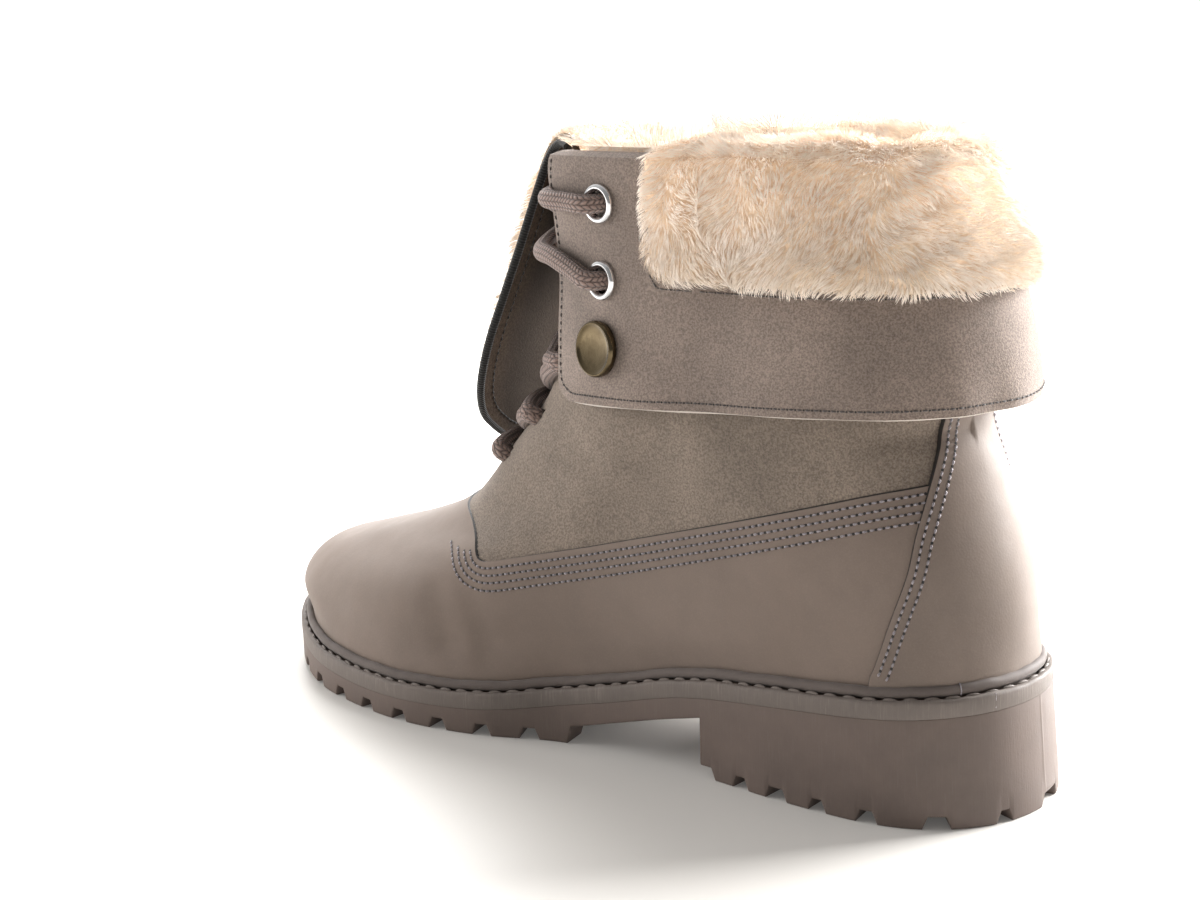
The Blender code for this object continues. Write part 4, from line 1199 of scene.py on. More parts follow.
# ---------- sole
@dataclass
class Outsole(Assembly):
    """One moulded rubber unit: side wall, edge lugs, heel block and tread bars."""

    step: float = 1.1
    inner_inset: float = 9.7
    overlap: float = 0.3
    mould_line: float = 0.09
    mould_width: float = 0.45

    def build(self) -> None:
        """Make the sole unit and its tread."""
        patch = Patchwork()
        self._wall(patch)
        self._plate(patch)
        for bar in CENTRE_BARS:
            self._bar(patch, *bar)
        self.shop.make("sole_unit", patch, [Finish.RUBBER], "sole_rubber", ["outsole"], 35.0)

    def _loop(self) -> tuple[Array, Array, float, float]:
        """Closed edge from the toe round the outer side, its runs, its length and the heel's run.

        Returns:
            The points, their runs, the length and the run of the heel.
        """
        outer, inner = plan_halves()
        loop = both_sides(outer, inner)
        runs = runs_of(loop)
        return loop, runs, float(runs[-1]), float(runs_of(outer)[-1])

    def _lugs(self, total: float, heel: float) -> list[tuple[float, float, float]]:
        """Middle, length at the ground and length at the root of each edge lug.

        Args:
            total: Length of the closed edge.
            heel: Run of the heel's apex.

        Returns:
            The three measures of each lug.
        """
        outer, inner = plan_halves()
        grow = LUG_HEIGHT / (LUG_HEIGHT + 1.0)
        lugs = []
        loop = both_sides(outer, inner)
        for distance, wide in HEEL_LUGS:
            for middle in (heel + HEEL_NOTCH - distance, heel + HEEL_NOTCH + distance):
                if at_distances(loop, middle + 0.6 * wide * np.array([-1, 1]))[:, 0].max() < BREAST_X:
                    lugs.append((middle, wide, wide + HEEL_LUG_DRAFT * grow))

        def run_at(half: Array) -> float:
            """Distance from the toe at which a half passes the first forefoot lug."""
            return float(np.interp(-FORE_LUG_START, -half[:, 0], runs_of(half)))

        start, end = -run_at(inner), run_at(outer)
        pitch = (end - start) / (FORE_LUGS - 1 + LUG_SHARES[0])
        for n in range(FORE_LUGS):
            middle = start + pitch * (n + 0.5 * LUG_SHARES[0])
            low, root = (pitch * share for share in LUG_SHARES)
            lugs.append((middle % total, low, low + (root - low) * grow))
        return lugs

    @staticmethod
    def _outline(runs: Array, xs: Array, total: float,
                 lugs: list[tuple[float, float, float]]) -> tuple[Array, Array]:
        """Bottom height, and root height without lugs, at runs along the edge.

        Args:
            runs: Distances along the edge.
            xs: The same points' distance forward.
            total: Length of the closed edge.
            lugs: Middle, length at the ground and length at the root of each lug.

        Returns:
            Both heights.
        """
        base = np.where(xs < BREAST_X, LUG_HEIGHT, underside(xs))
        drop = np.zeros(len(runs))
        for middle, low, root in lugs:
            away = np.abs((runs - middle + 0.5 * total) % total - 0.5 * total)
            drop = np.maximum(drop, np.clip((0.5 * root - away) / (0.5 * (root - low)), 0.0, 1.0))
        return base - drop * (base - spring(xs)), base

    def _wall(self, patch: Patchwork) -> None:
        """Side wall with the edge lugs' outer, under and inner faces.

        Args:
            patch: Patchwork that takes the faces.
        """
        loop, runs, total, heel = self._loop()
        marks = [np.arange(0.0, total, self.step)]
        lugs = self._lugs(total, heel)
        for middle, low, root in lugs:
            ramp = np.linspace(0.5 * low, 0.5 * root, 5)
            away = np.concatenate([[ramp[0] - 0.3], ramp, [ramp[-1] + 0.3]])
            marks += [middle + away, middle - away]
        back = np.argmin(loop[:, 0])
        for place in (np.interp(-BREAST_X, -loop[:back, 0], runs[:back]),
                      np.interp(BREAST_X, loop[back:, 0], runs[back:])):
            marks.append(place + np.array([-0.02, 0.02]))
        marks.append(heel + np.array([-0.6, -0.35, -0.15, 0.0, 0.15, 0.35, 0.6]))
        at = np.unique(np.round(np.concatenate(marks) % total, 3))
        edge = np.stack([np.interp(at, runs, loop[:, k]) for k in (0, 1)], axis=-1)
        inward = inward_of(edge)
        low, base = self._outline(at, edge[:, 0], total, lugs)
        top = sole_top(edge[:, 0])
        seam = self.mould_line * np.exp(-((at - heel) / self.mould_width) ** 2)
        rows: list[tuple[float, Array]] = [
            (6.0, top - 0.3), (0.9, top + 0.1), (0.20, top + 0.06), (0.03, top - 0.02), (0.0, top - 0.2)]
        for share in (0.25, 0.5, 0.75):
            rows.append((0.0, (top - 0.2) * (1 - share) + (low + 0.9) * share))
        rows += [(0.0, low + 0.9), (0.10, low + 0.40), (0.34, low + 0.10), (0.8, low), (LUG_DEPTH - 0.9, low),
                 (LUG_DEPTH - 0.45, low + 0.3), (self.inner_inset, base + 0.02)]
        rings, track = [], []
        for inset, height in rows:
            flare = HEEL_FLARE * np.maximum(1 - edge[:, 0] / BREAST_X, 0.0)
            flare = flare * np.clip((top - height) / np.maximum(top - LUG_HEIGHT, 1.0), 0.0, 1.0)
            plan = edge + inward * (inset - seam * (inset < 0.2))[:, None]
            rings.append(np.column_stack([plan[:, 0] - flare, plan[:, 1] * (1 + 0.02 * flare), height]))
            track.append(np.column_stack([at, height + inset]))
        grid = np.stack(rings)[::-1]
        patch.add_grid(grid, 0.0, np.stack(track)[::-1], wrap=True)

    def _plate(self, patch: Patchwork) -> None:
        """Underside between the edge lugs, with the upright breast of the heel.

        Args:
            patch: Patchwork that takes the faces.
        """
        outer, inner = plan_halves()
        loop = joined_loop(outer, inner)
        halves = split_loop(loop + inward_of(loop) * (self.inner_inset - self.overlap), len(outer))
        xs = np.concatenate([np.linspace(12.0, BREAST_X, 14), np.linspace(BREAST_X, 264.0, 44)])
        heights = np.concatenate([np.full(14, LUG_HEIGHT), underside(xs[14:])])
        ends = [np.interp(-xs, -half[:, 0], half[:, 1]) for half in halves]
        share = np.linspace(0.0, 1.0, 9)
        ys = ends[0][:, None] * (1 - share) + ends[1][:, None] * share
        grid = np.stack([np.broadcast_to(xs[:, None], ys.shape), ys,
                         np.broadcast_to(heights[:, None], ys.shape)], axis=-1)
        patch.add_grid(grid, 0.0, grid[..., :2], turned=True)

    def _bar(self, patch: Patchwork, x: float, half: float, length: float = 8.0, bend: float = 4.0) -> None:
        """One chevron bar of the tread.

        Args:
            patch: Patchwork that takes the faces.
            x: Its middle's distance forward.
            half: Half of its width.
            length: Its size from back to front.
            bend: How far its middle lies ahead.
        """
        ys = np.linspace(-1.0, 1.0, 9)
        rings = []
        for grow, lift in ((0.9, 4.0), (0.35, 0.5), (0.1, 0.12), (-0.4, 0.0)):
            front = x + bend * (1 - np.abs(ys)) + 0.5 * length + grow
            rear = x + bend * (1 - np.abs(ys)) - 0.5 * length - grow
            wide = ys * (half + grow)
            ring = np.concatenate([np.column_stack([rear, wide]), np.column_stack([front, wide])[::-1]])
            rings.append(np.column_stack([ring, spring(ring[:, 0]) + lift]))
        grid = np.stack(rings)
        patch.add_grid(grid, 0.0, grid[..., :2], wrap=True)
        count = grid.shape[1] // 2
        number = np.arange(count - 1)
        lid = np.stack([number, number + 1, 2 * count - 2 - number, 2 * count - 1 - number], axis=-1)
        patch.add(grid[-1], lid, 0.0, grid[-1][:, :2])


@dataclass
class Welt(Assembly):
    """Rough storm band, its stitched ledge and the round bead against the upper."""

    samples: int = 560

    def build(self) -> None:
        """Make the band, the bead and the ledge's moulded stitches."""
        loop = joined_loop(*plan_halves())
        closed = np.concatenate([loop, loop[:1]])
        at = np.linspace(0.0, runs_of(closed)[-1], self.samples, endpoint=False)
        edge = at_distances(closed, at)
        band = ((3.0, 0.1), (0.2, 0.06), (-0.02, 0.10), (-0.10, 0.4), (-0.20, 1.9), (-0.20, 3.1),
                (-0.14, 4.1), (0.02, 4.65), (0.4, 4.95), (1.1, 5.02), (1.75, 4.85), (2.2, 4.5))
        self._sweep(Finish.BAND, "welt_band", band, edge, at, ["welt"])
        angle = np.linspace(-0.35, 1.25, 14) * np.pi
        bead = [(3.15 - 1.45 * math.cos(a), 6.45 + 1.5 * math.sin(a)) for a in angle]
        self._sweep(Finish.BEAD, "welt_bead", bead + [(4.3, 1.0)], edge, at)
        self._stitches(edge)
        self._joint(edge)

    def _sweep(self, finish: Finish, name: str, profile: Sequence[tuple[float, float]], edge: Array,
               at: Array, replaced: Sequence[str] = ()) -> None:
        """Carry a profile of insets and heights round the sole.

        Args:
            finish: Its finish.
            name: Name of the piece.
            profile: Insets and heights.
            edge: Closed edge of the sole.
            at: Run at each point of the edge.
            replaced: The CAD nodes that it stands for.
        """
        inward = inward_of(edge)
        wobble = 0.10 * np.sin(at * 0.31) + 0.06 * np.sin(at * 0.83 + 1.7)
        rings, track = [], []
        for inset, height in profile:
            plan = edge + inward * inset
            rings.append(np.column_stack([plan, sole_top(edge[:, 0]) + height + wobble * (height > 4.0)]))
            track.append(np.column_stack([at, np.full(len(at), height + inset)]))
        patch = Patchwork()
        patch.add_grid(np.stack(rings), 0.0, np.stack(track), wrap=True)
        self.shop.make(name, patch, [finish], "welt_rubber", replaced, 50.0)

    def _stitches(self, edge: Array, pitch: float = 5.6) -> None:
        """Moulded stitches, each a slanting rib across the ledge's outer edge.

        Args:
            edge: Closed edge of the sole.
            pitch: Distance between two stitches.
        """
        closed = np.concatenate([edge, edge[:1]])
        inward = np.concatenate([inward_of(edge), inward_of(edge)[:1]])
        runs = runs_of(closed)
        patch = Patchwork()
        for start in np.arange(0.0, runs[-1] - pitch, pitch):
            run = start + np.linspace(0.25, 0.25 + 0.70 * pitch, 6)
            plan = np.stack([np.interp(run, runs, closed[:, k]) for k in (0, 1)], axis=-1)
            side = np.stack([np.interp(run, runs, inward[:, k]) for k in (0, 1)], axis=-1)
            inset = np.linspace(1.75, 1.25, 6)[:, None]
            plan = plan + side * inset
            height = sole_top(plan[:, 0]) + 5.0 + np.array([-0.10, 0.06, 0.12, 0.12, 0.06, -0.10])
            patch.add_tube(np.column_stack([plan, height]), 0.5 * np.array([0.5, 0.9, 1.0, 1.0, 0.9, 0.5]), 6)
        self.shop.make("welt_stitches", patch, [Finish.BAND], "welt_rubber", [], 60.0)

    def _joint(self, edge: Array) -> None:
        """Butt joint of the bead and the band, a thin lip of glue at the back of the outer side.

        Args:
            edge: Closed edge of the sole.
        """
        patch = Patchwork()
        inward = inward_of(edge)
        for x, heights in ((9.0, ((1.9, 5.3), (1.6, 6.4), (2.2, 7.6), (3.2, 8.05), (4.2, 7.4))),
                           (4.0, ((-0.02, 0.9), (-0.05, 2.4), (-0.05, 3.8), (0.12, 4.9)))):
            near = np.argmin(np.abs(edge[:, 0] - x) + 1e3 * (edge[:, 1] < 0))
            line = []
            for inset, height in heights:
                plan = edge[near] + inward[near] * inset
                line.append([plan[0], plan[1], sole_top(edge[near, 0]) + height])
            patch.add_tube(curve_through(np.array(line), 4), 0.16, 6)
        self.shop.make("welt_joint", patch, [Finish.THREAD], "welt_rubber", [], 60.0)


@dataclass
class Insole(Assembly):
    """Padded footbed under the lining, shaped to the inside of the upper's lower edge."""

    last: Last
    level: float = 0.15
    play: float = 0.8
    top: float = 3.2
    dish: float = 0.6
    base: float = 0.8

    def build(self) -> None:
        """Make the footbed."""
        halves = [self.last.row(side, self.level)[:, :2] for side in (0, 1)]
        loop = joined_loop(*halves)
        outer, inner = split_loop(loop + inward_of(loop) * (WALL + self.play), len(halves[0]))
        share = np.linspace(0.0, 1.0, 15)[:, None, None]
        plan = outer * (1 - share) + inner * share
        dome = np.sin(np.pi * share[..., 0]) ** 0.6
        seat = sole_top(plan[..., 0])
        top = np.concatenate([plan, (seat + self.top + self.dish * (1 - dome))[..., None]], axis=-1)
        low = np.concatenate([plan, (seat + self.base)[..., None]], axis=-1)
        patch = Patchwork()
        patch.add_sheet(top[::-1], low[::-1], shade=0.5)
        self.shop.make("insole_pad", patch, [Finish.LINING], "insole_pile", ["insole"])


# ---------- upper
# x, height of the vamp's top edge in side view
VAMP_LINE = ((0, 93.5), (22, 88.6), (33, 86.2), (53, 80.6), (84, 71.6), (118, 61.9), (145, 54.9),
             (156, 52), (159.4, 51.2), (161.4, 51.6), (166.5, 55.6), (175.5, 60), (184, 62),
             (192, 62.8), (196, 66), (200, 90))
# level, half width of the back panel
COUNTER_EDGE = ((0, 47), (1, 46.4), (1.5, 44.6), (2.5, 40.6), (3.5, 35.6), (4.5, 30.2), (5.5, 23.8),
                (6.5, 17.4), (7, 14.6), (7.5, 12.6), (8, 11.4))


@dataclass
class Crease:
    """Soft trough across the skin, with a low swell beside it.

    Its line runs in side view from one x and z to another, on one side of the boot.
    """

    start: tuple[float, float]
    end: tuple[float, float]
    depth: float
    width: float
    side: int = 1

    def shift(self, points: Array) -> Array:
        """How far points move outward.

        Args:
            points: Points to treat.

        Returns:
            One distance for each point.
        """
        a, b = np.array(self.start), np.array(self.end)
        flat = points[..., [0, 2]] - a
        along = unit(b - a)
        total = float(np.linalg.norm(b - a))
        run = flat @ along
        off = flat @ np.array([-along[1], along[0]])
        fade = 0.35 * total
        ends = smooth_step((run + 0.25 * total) / fade) * smooth_step((1.25 * total - run) / fade)
        swell = 0.55 * np.exp(-((off - 1.9 * self.width) / self.width) ** 2)
        trough = -np.exp(-(off / self.width) ** 2) + swell
        return self.depth * trough * ends * (points[..., 1] * self.side > 4.0)


CREASES = (
    Crease((163.0, 46.0), (157.0, 22.0), 0.32, 3.2),
    Crease((175.0, 42.0), (171.0, 24.0), 0.35, 4.0),
    Crease((163.0, 46.0), (157.0, 22.0), 0.5, 3.4, -1),
    Crease((18.0, 101.0), (36.0, 99.0), 0.7, 2.6),
    Crease((120.0, 84.0), (150.0, 76.0), 0.6, 6.0),
    Crease((96.0, 92.0), (118.0, 66.0), 0.45, 8.0),
    Crease((120.0, 84.0), (150.0, 76.0), 0.6, 6.0, -1),
)


def creased(points: Array, normals: Array) -> Array:
    """Points moved by the boot's creases."""
    shift = sum(crease.shift(points) for crease in CREASES)
    return points + normals * shift[..., None]


@dataclass
class Upper(Assembly):
    """Suede shaft with its pile lining, smooth vamp panel and back panel, and their stitching."""

    last: Last
    vamp_line: Curve = field(default_factory=lambda: table_curve(VAMP_LINE))
    counter_edge: Curve = field(default_factory=lambda: table_curve(COUNTER_EDGE))
    vamp_rise: float = 0.75
    counter_rise: float = 1.55
    stitch_rows: tuple[float, ...] = (2.3, 4.5, 6.7, 9.1)
    stitch_top: float = 53.5
    counter_rows: tuple[float, ...] = (2.3, 4.7)
    lace_hole: float = 2.6
    skive: float = 0.5
    vamp_seat: float = 0.8

    def build(self) -> None:
        """Make the upper's pieces."""
        self._shaft()
        self._vamp()
        self._counter()

    def _shaft(self) -> None:
        """Hollow shaft from the sole to the rim, open at the throat."""
        throat_columns, columns = 6, 96
        rows = []
        levels = np.concatenate([np.linspace(0.05, 6.0, 48), np.linspace(6.08, TOP_LEVEL, 44)])
        for level in levels:
            first = float(THROAT_AT(level))
            halves = []
            for side in (0, 1):
                row = self.last.row(side, level)
                throat = at_distances(row, first * np.arange(throat_columns) / throat_columns)
                halves.append(np.concatenate([throat, from_run(row, first, columns)]))
            rows.append(joined_loop(*halves))
        grid = np.stack(rows)
        normals = grid_normals(grid, wrap=True)
        under = smooth_step((self.vamp_line(grid[..., 0]) - 1.0 - grid[..., 2]) / 2.0)
        outer = creased(grid, normals) - normals * (self.vamp_seat * under)[..., None]
        inner = grid - normals * WALL
        count = grid.shape[1]
        keep = np.ones((len(levels) - 1, count), bool)
        closed = levels[:-1] >= THROAT_LEVEL - 0.01
        keep[np.ix_(closed, np.arange(throat_columns))] = False
        keep[np.ix_(closed, np.arange(count - throat_columns, count))] = False
        for row, beside in LaceRun.holes:
            for side in (1, -1):
                centre, _ = self.last.spot(row, side * (float(THROAT_AT(row)) + beside))
                keep &= np.linalg.norm(grid - centre, axis=-1)[:-1] >= self.lace_hole
        patch = Patchwork()
        patch.add_sheet(outer, inner, keep, True, 0.0, (0, 1, 0))
        self.shop.make("shaft_shell", patch, [Finish.SUEDE, Finish.LINING], "upper_suede", ["upper"])

    def _vamp_grid(self, side: int) -> tuple[Array, Array]:
        """Grid of one half of the vamp panel from the sole to its top edge, and its normals.

        Args:
            side: 0 for the outer half, 1 for the inner.

        Returns:
            The grid and its normals.
        """
        half = self.last.halves[side]
        above = half[..., 2] - self.vamp_line(half[..., 0])
        first = np.argmax(above > 0, axis=0)
        columns = np.arange(half.shape[1])
        a, b = above[first - 1, columns], above[first, columns]
        reach = first - 1 + a / (a - b)
        reach[1:-1] = 0.25 * reach[:-2] + 0.5 * reach[1:-1] + 0.25 * reach[2:]
        share = np.concatenate([np.linspace(0.0, 0.93, 40), np.linspace(0.95, 1.0, 4)])
        place = share[:, None] * reach[None, :]
        low = np.minimum(place.astype(int), len(half) - 2)
        part = (place - low)[..., None]
        grid = half[low, columns] * (1 - part) + half[low + 1, columns] * part
        normals = grid_normals(half)[low, columns] * (1 if side == 0 else -1)
        return grid, normals

    def _vamp(self) -> None:
        """Smooth panel round the foot, with four rows of stitches under its top edge."""
        patch = Patchwork()
        halves = [self._vamp_grid(side) for side in (0, 1)]
        grid, normals = (np.concatenate([outer, inner[:, -2::-1]], axis=1) for outer, inner in zip(*halves))
        grid = creased(grid, normals)
        soft = smooth_step((np.arange(len(grid)) - len(grid) + 1) / -2.5)[:, None, None]
        rise = self.vamp_rise * (0.72 + 0.28 * soft)
        outer = grid + normals * rise
        front = np.concatenate([outer[:, -2:-4:-1], outer, outer[:, 1:3]], axis=1)
        patch.add_sheet(trimmed(outer, self.skive, last=True), grid - normals * 0.15)
        self.shop.make("vamp_panel", patch, [Finish.NUBUCK], "counter_leather")
        seam = Seam(skin_of(front))
        rim = outer[-1]
        middle = len(rim) // 2
        line = np.concatenate([rim[middle - 24::-1], rim[:middle + 23:-1]])
        stitches = Patchwork()
        for distance in self.stitch_rows:
            row = seam.moved(line, distance)
            low = (row[:, 2] < self.stitch_top) | (row[:, 0] < 150.0)
            seam.sew(stitches, row[:np.argmin(low)])
            seam.sew(stitches, row[len(row) - np.argmin(low[::-1]):])
        self.stitched("vamp_stitches", stitches, Finish.THREAD, "counter_leather")

    def _counter(self) -> None:
        """Back panel from the welt up under the cuff, with two rows of stitches along each edge."""
        levels = np.linspace(0.6, 7.9, 60)
        share = np.linspace(0.0, 1.0, 30)
        rows = []
        for level in levels:
            half = float(self.counter_edge(level))
            halves = [self.last.row(side, level) for side in (0, 1)]
            rows.append(both_sides(*(at_distances(row, runs_of(row)[-1] - half * (1 - share))
                                     for row in halves)))
        grid = np.stack(rows)
        normals = grid_normals(grid)
        grid = creased(grid, normals)
        soft = np.minimum(np.arange(grid.shape[1]), np.arange(grid.shape[1])[::-1]) / 1.6
        rise = self.counter_rise * (0.80 + 0.20 * smooth_step(soft))[None, :, None]
        outer = grid + normals * rise
        patch = Patchwork()
        patch.add_sheet(trimmed(outer, self.skive, sides=True), grid + normals * 0.3)
        self.shop.make("counter_panel", patch, [Finish.COUNTER], "counter_leather", ["heel_counter"])
        seam = Seam(skin_of(outer))
        stitches = Patchwork()
        for column, turn in ((0, -1.0), (-1, 1.0)):
            line = outer[6:, column]
            for distance in self.counter_rows:
                seam.sew(stitches, seam.moved(line, distance, turn))
        self.stitched("counter_stitches", stitches, Finish.THREAD, "counter_leather")


# ---------- cuff
# z at the front, z at the back, stand-off at the front, side and back, front edge along the loop
CUFF_ROWS = (
    (101, 107.5, 3, 6.6, 14.6, 55),
    (105, 112.5, 2.9, 6.2, 14.9, 45),
    (119, 123, 2.5, 4.8, 13.8, 38),
    (136, 137, 2.1, 3.4, 10.4, 37),
    (152, 152, 1.8, 2.3, 6.2, 36.5),
    (166, 166, 1.7, 1.7, 2.6, 37.5),
    (170.2, 170.2, 1.5, 1.45, 1.75, 39),
)
# distance along the bottom edge from its outer front end, and height, of soft upright folds
CUFF_FOLDS = ((119, 0.9), (130, -0.7))
CUFF_HOOK = ((171.3, -0.6), (171.3, -2.0))
CUFF_SKIN = 2.0
FUR_START = 93.0
# distance from the middle of the front along the cuff, z, of the seam round the fur panel
FUR_SEAM = ((74, 151), (74.6, 147.5), (76, 143), (78.6, 138.6), (80, 137.2), (84, 136.9),
            (93, 136.9))
# z at the side, z at the back, outward at the side, outward at the back, from the cuff's middle surface
FUR_OUTER = ((140, 139.5, 2.6, 2.8), (138.5, 137, 6, 4.5), (143, 142.5, 9, 8.5),
             (153, 151, 9.2, 8), (164, 160.5, 8.5, 6), (172.6, 169.6, 5.5, 3))
# the same four, outward from the rim line
FUR_OVER = ((176.6, 175.2, 0.5, -2.4), (175.8, 174.6, -6.5, -6.8), (170, 168.5, -10, -9),
            (155, 155, -8.5, -8), (148, 148, -6, -6))
# z, outward from the rim line, of the pile on the inside at the front
FUR_INSIDE = ((136, -3.4), (150, -3.8), (163, -4.2), (172, -4.8), (175, -3.4), (173.4, -1.8))
# name, side, x, z
EYELET_SITES = (
    ("lat_upper", 1, 111, 158.6), ("lat_lower", 1, 111, 137.8),
    ("med_upper", -1, 111, 158.6), ("med_lower", -1, 111, 137.8),
)
SNAP_SITES = (("lat", 1, 112.3, 119), ("med", -1, 112.3, 119))


def backness(half: Array) -> Array:
    """Share from 0 at the side to 1 at the back for each point of a loop half."""
    runs = runs_of(half)
    return smooth_step((runs / runs[-1] - 0.55) / 0.45)


def stood_off(half: Array, side: int, at_front: float, at_side: float, at_back: float) -> Array:
    """Loop half moved outward by its own distance at the front, the side and the back.

    Args:
        half: Points of the half.
        side: 0 for the outer half, 1 for the inner.
        at_front: Distance at the front.
        at_side: Distance at the side.
        at_back: Distance at the back.

    Returns:
        The moved half.
    """
    sign = 1 - 2 * side
    ahead = backness(half[::-1])[::-1]
    off = at_side + (at_back - at_side) * backness(half) + (at_front - at_side) * ahead
    along = unit(np.gradient(half[:, :2], axis=0))
    out = half.copy()
    out[:, 0] += along[:, 1] * sign * off
    out[:, 1] -= along[:, 0] * sign * off
    return out


@dataclass
class CuffForm:
    """Middle surface of the fold-down cuff, and the rows that the fur sits on."""

    last: Last
    tracks: list[Array] = field(init=False)

    def __post_init__(self) -> None:
        """Work out the cuff's rows on both sides."""
        self.table = curve_through(np.array(CUFF_ROWS), 8)
        self.tracks = [np.stack([self._half(side, row) for row in self.table]) for side in (0, 1)]

    def shaft_loop(self, side: int, front_z: float, back_z: float) -> Array:
        """Half of the shaft's surface at a height that may slope.

        Args:
            side: 0 for the outer half, 1 for the inner.
            front_z: Height at the front.
            back_z: Height at the back.

        Returns:
            The points.
        """
        half = self.last.halves[side][int(THROAT_LEVEL) * self.last.rows_a_level:]
        rim_back, rim_front = UPPER_LEVELS[-1][0], UPPER_LEVELS[-1][2]
        share = (half[-1, :, 0] - rim_back) / (rim_front - rim_back)
        return self._at_heights(half, back_z + (front_z - back_z) * share)

    @staticmethod
    def _at_heights(grid: Array, heights: Array) -> Array:
        """Point of each column of a grid at its own height."""
        return np.array([(*(np.interp(z, column[:, 2], column[:, k]) for k in (0, 1)), z)
                         for column, z in zip(grid.transpose(1, 0, 2), heights)])

    def _half(self, side: int, row: Array) -> Array:
        """One row's half, stood off the shaft."""
        front_z, back_z, at_front, at_side, at_back, _ = row
        return stood_off(self.shaft_loop(side, front_z, back_z), side, at_front, at_side, at_back)

    def loop(self, side: int, z: float) -> Array:
        """Half of the cuff's middle surface at a height."""
        track = self.tracks[side]
        return self._at_heights(track, np.full(track.shape[1], z))

    def site(self, side: int, x: float, z: float) -> tuple[Array, Array]:
        """Point and normal of the cuff's outer face at x and z.

        Args:
            side: 1 for the outer side, -1 for the inner.
            x: Distance forward.
            z: Height.

        Returns:
            The point and the normal.
        """
        half = 0 if side > 0 else 1

        def width(px: float, pz: float) -> float:
            """Signed distance across at x and z."""
            row = self.loop(half, pz)
            return float(np.interp(-px, -row[:, 0], row[:, 1]))

        along = (width(x + 3, z) - width(x - 3, z)) / 6
        up = (width(x, z + 3) - width(x, z - 3)) / 6
        normal = unit(np.array([-along, 1.0, -up])) * side
        return np.array([x, width(x, z), z]) + normal * (0.5 * CUFF_SKIN), normal

    def rim(self, side: int, z: float, off: float) -> Array:
        """Half of the rim's line moved outward, at a height.

        Args:
            side: 0 for the outer half, 1 for the inner.
            z: Height.
            off: Distance outward.

        Returns:
            The points.
        """
        moved = stood_off(self.last.row(side, TOP_LEVEL), side, off, off, off)
        moved[:, 2] = z
        return moved


